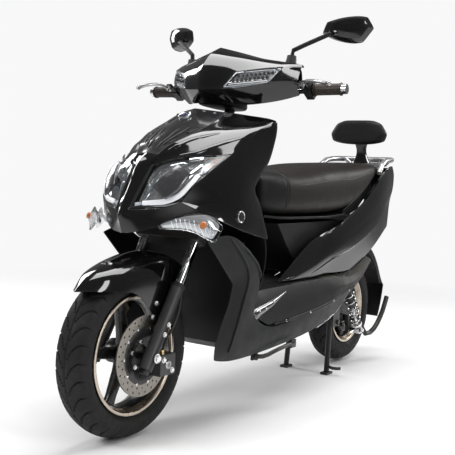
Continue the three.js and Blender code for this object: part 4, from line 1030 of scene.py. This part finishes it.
def piping(name, node, stations, level, body, side, lift):
    """A sewn cord along a cushion's flank, through its sections at the given stations."""
    skin = Skin(node)
    points = []
    for y in stations:
        ring = section_ring(node, y)
        low, high = min(p.z for p in ring), max(p.z for p in ring)
        wide = max(p.x for p in ring)
        points.append(skin.at((side * wide, y, low + (high - low) * level), lift))
    tube(name, curve_through(points, 8), 0.0019, body, "piping")


def pan_tail():
    """The rear of the seat's plastic pan, which climbs under the brown cushion."""
    stations = [(0.39, 0.114, 0.586, 0.612), (0.45, 0.116, 0.593, 0.64), (0.52, 0.114, 0.614, 0.668),
        (0.6, 0.106, 0.656, 0.712), (0.68, 0.09, 0.702, 0.75)]
    rings = [((-w, y, low), (w, y, low), (w + 0.006, y, high), (-w - 0.006, y, high))
        for y, w, low, high in stations]
    obj = piece("seat_pan_tail", skinned(rings), "seat", "satin", slot=SLOT_OF["seat_base"], smooth=40)
    modifier(obj, "BEVEL", width=0.004, segments=3)


def soft_goods():
    pan_tail()
    cushion("seat_front_cushion", "leather_black", "seat", seam_y=-0.046)
    cushion("seat_rear_cushion", "leather_brown", "seat", seam_y=-0.0454)
    cushion("backrest_pad", "leather_black", "chassis", hold=0.38)
    for hand, side in SIDES:
        piping(f"seat_piping_{hand}", "seat_rear_cushion", (0.02, 0.1, 0.19, 0.28, 0.4, 0.52, 0.63), 0.7,
            "seat", side, -0.002)
    hard("seat_base", "satin", width=0.0015)
    seam = curve_through(section_ring("seat_rear_cushion", -0.0454), 4, closed=True)
    lowered = [Vector((p.x * 0.972, p.y, 0.672 + (p.z - 0.672) * 0.965)) for p in seam]
    piece("seat_seam", sweep(lowered, 0.0022, 8, closed=True, up=(0, 1, 0)), "seat", "piping")


def rail_and_stands():
    hard("grab_rail", "silver", sharp=50, width=0.0012)
    shell("backrest_post", "paint", sharp=50, crease=0.5)
    hard("centre_stand", "frame", sharp=55, width=0.001)
    hard("side_stand", "frame", sharp=62, width=0.001)
    hard("main_frame", "frame", sharp=62, width=0.0008)
    hard("battery_pack", "battery", width=0.004)
    heads = [hex_bolt((x, y, z), (0, -0.1, 1), 0.0055)
        for y, z, reach in ((0.785, 0.7875, 0.05), (0.85, 0.7945, 0.045)) for x in (reach, -reach)]
    bolts("rail_bolts", heads, "chassis")


# ---------- bars, levers and mirrors ----------
GRIP_ROOT = steer(0.226, 0.015, 0.904)
GRIP_TIP = steer(0.352, 0.022, 0.911)


def grip_ribs(hand, side, body):
    """Fine rings and two flanges on a grip sleeve."""
    root = flip(GRIP_ROOT, side)
    axis = (flip(GRIP_TIP, side) - root).normalized()
    length = (GRIP_TIP - GRIP_ROOT).length
    rings = []
    for k in range(17):
        h = length * (0.36 + 0.6 * k / 16)
        rings.append(turned([(0.0166, h - 0.0012), (0.0176, h), (0.0166, h + 0.0012)], root, axis, 32,
            closed=True))
    for h in (length * 0.315, length * 0.975):
        flange = [(0.0165, h - 0.002), (0.0198, h - 0.0014), (0.0198, h + 0.0014), (0.0165, h + 0.002)]
        rings.append(turned(flange, root, axis, 40, closed=True))
    piece(f"grip_rings_{hand}", joined(rings), body, "grip", slot="grip_brown")


def controls():
    hard("handlebar", "chrome", sharp=50)
    for node, hand, side in (("grip_left", "left", 1), ("throttle_grip", "right", -1)):
        hard(node, "grip", sharp=40)
        grip_ribs(hand, side, BODY_OF[node])
        hard(f"switch_pod_{hand}", "satin", width=0.0025)
        hard(f"brake_lever_{hand}", "lever", sharp=62)
        pivot = hex_bolt(steer(0.248 * side, -0.034, 0.8945), STEM, 0.005)
        bolts(f"lever_screw_{hand}", [pivot], "steering")
        route = ((0.234, -0.03, 0.89), (0.2, -0.05, 0.888), (0.165, -0.04, 0.885), (0.13, -0.02, 0.882))
        cable = curve_through([steer(x * side, back, up) for x, back, up in route], 8)
        tube(f"lever_cable_{hand}", cable, 0.0032, "steering", "hose")
    hard("start_button", "button", width=0.0006)
    route = [steer(0.248, back, up) for back, up in ((0.041, 0.915), (0.043, 0.909), (0.041, 0.903))]
    rocker = sweep(route, 0.004, 8)
    piece("turn_switch", rocker, "steering", "button", smooth=40)
    hard("ignition_key", "chrome", width=0.0008)


MIRROR_SCALE = 1 / 1080
MIRROR_OUTLINE = ((-70, -12), (-58, 18), (-21, 31), (31, 38), (53, 33), (70, 5), (42, -32), (14, -38),
    (-41, -29))


def mirrors():
    for hand, side in SIDES:
        hard(f"mirror_stalk_{hand}", "satin", sharp=50)
        node = f"mirror_head_{hand}"
        shell(node, "paint", sharp=25, crease=0.7)
        swing = radians(30)
        out = Vector((cos(swing) * side, sin(swing), 0))
        rear = Vector((-sin(swing) * side, cos(swing), 0))
        middle = Vector((0.316 * side, -0.044, 1.188)) + rear * 0.0095
        outline = [middle + out * w * MIRROR_SCALE + Vector((0, 0, h * MIRROR_SCALE))
            for w, h in MIRROR_OUTLINE]
        loop = curve_through(outline, 5, closed=True)
        glass = skinned([[p + rear * 0.0012 for p in loop], [p - rear * 0.003 for p in loop]])
        piece(f"mirror_glass_{hand}", glass, BODY_OF[node], "mirror", smooth=40)
        route = ((0.184, -0.163, 1.05), (0.1855, -0.161, 1.072), (0.1866, -0.1594, 1.0855),
            (0.187, -0.1586, 1.0975))
        boot = sweep(mirrored(route, side), 0.0155, 20, taper=lambda t: 1.25 - 0.35 * t)
        piece(f"mirror_boot_{hand}", boot, "steering", "hose")


# ---------- floor and light ----------
def soft_light(name, at, aim, size, power):
    data = bpy.data.lights.new(name, "AREA")
    data.shape = "RECTANGLE"
    data.size, data.size_y = size
    data.energy = power
    lamp = bpy.data.objects.new(name, data)
    lamp.location = at
    lamp.rotation_mode = "QUATERNION"
    lamp.rotation_quaternion = (Vector(aim) - Vector(at)).to_track_quat("-Z", "Y")
    bpy.context.scene.collection.objects.link(lamp)


def blend(nodes, links, share, first, second, output):
    """Mixes two shaders into an output: the first where share is 0, the second where it is 1."""
    mix = nodes.new("ShaderNodeMixShader")
    links.new(share, mix.inputs["Fac"])
    links.new(first, mix.inputs[1])
    links.new(second, mix.inputs[2])
    links.new(mix.outputs["Shader"], output.inputs["Surface"])


def seamless_floor():
    """A round paper floor that fades into the white background away from the object."""
    floor = bpy.data.objects.new("floor", bpy.data.meshes.new("floor"))
    bm = bmesh.new()
    bmesh.ops.create_grid(bm, x_segments=8, y_segments=8, size=30)
    bm.to_mesh(floor.data)
    bm.free()
    bpy.context.scene.collection.objects.link(floor)
    s = Shader("floor_paper")
    s.colour(s.mix(s.noise(0.6, 3), (0.86, 0.86, 0.86), (0.9, 0.9, 0.9)))
    s.rough(s.noise(3, 3), 0.7, 0.8)
    reach = s.node("VectorMath")
    reach.operation = "LENGTH"
    s.link(s.place, reach.inputs[0])
    glow = s.node("Emission", Color=(1, 1, 1, 1), Strength=BACKGROUND)
    share = s.node("Math")
    share.operation = "MULTIPLY"
    s.link(s.remap(reach.outputs["Value"], 1.2, 3.4), share.inputs[0])
    s.link(s.node("LightPath").outputs["Is Camera Ray"], share.inputs[1])
    blend(s.nodes, s.links, share.outputs["Value"], s.out.outputs["BSDF"], glow.outputs["Emission"],
        s.nodes["Material Output"])
    floor.data.materials.append(s.material)


def studio():
    seamless_floor()
    soft_light("top_box", (0.4, 0.2, 3.4), (0.1, 0, 0.5), (1.5, 3.2), 120)
    soft_light("key_box", (3.4, -1.2, 1.9), (0, -0.1, 0.6), (0.5, 2.2), 42)
    soft_light("front_box", (-1.5, -3.6, 2.6), (0, -0.4, 0.5), (1.4, 1.0), 70)
    soft_light("rim_box", (-3.2, 0.6, 2.4), (0, -0.1, 0.7), (0.7, 2.6), 60)
    soft_light("rear_box", (1.8, 3.4, 2.2), (0, 0.3, 0.6), (1.4, 1.2), 55)
    world = bpy.data.worlds.new("studio")
    world.use_nodes = True
    nodes, links = world.node_tree.nodes, world.node_tree.links
    sky, backdrop = nodes["Background"], nodes.new("ShaderNodeBackground")
    for light, strength in ((sky, AMBIENT), (backdrop, BACKGROUND)):
        light.inputs["Color"].default_value = (1, 1, 1, 1)
        light.inputs["Strength"].default_value = strength
    seen = nodes.new("ShaderNodeLightPath").outputs["Is Camera Ray"]
    blend(nodes, links, seen, sky.outputs["Background"], backdrop.outputs["Background"],
        nodes["World Output"])
    bpy.context.scene.world = world
    bpy.context.scene.view_settings.view_transform = "Standard"


make_camera()
paints_and_plastics()
soft_materials()
metals()
lamp_materials()
dress_front()
dress_sides()
dress_floor()
dress_covers()
headlights()
turn_signals()
day_lamps()
tail_lamp()
wheels()
front_end()
rear_end()
soft_goods()
rail_and_stands()
controls()
mirrors()
studio()
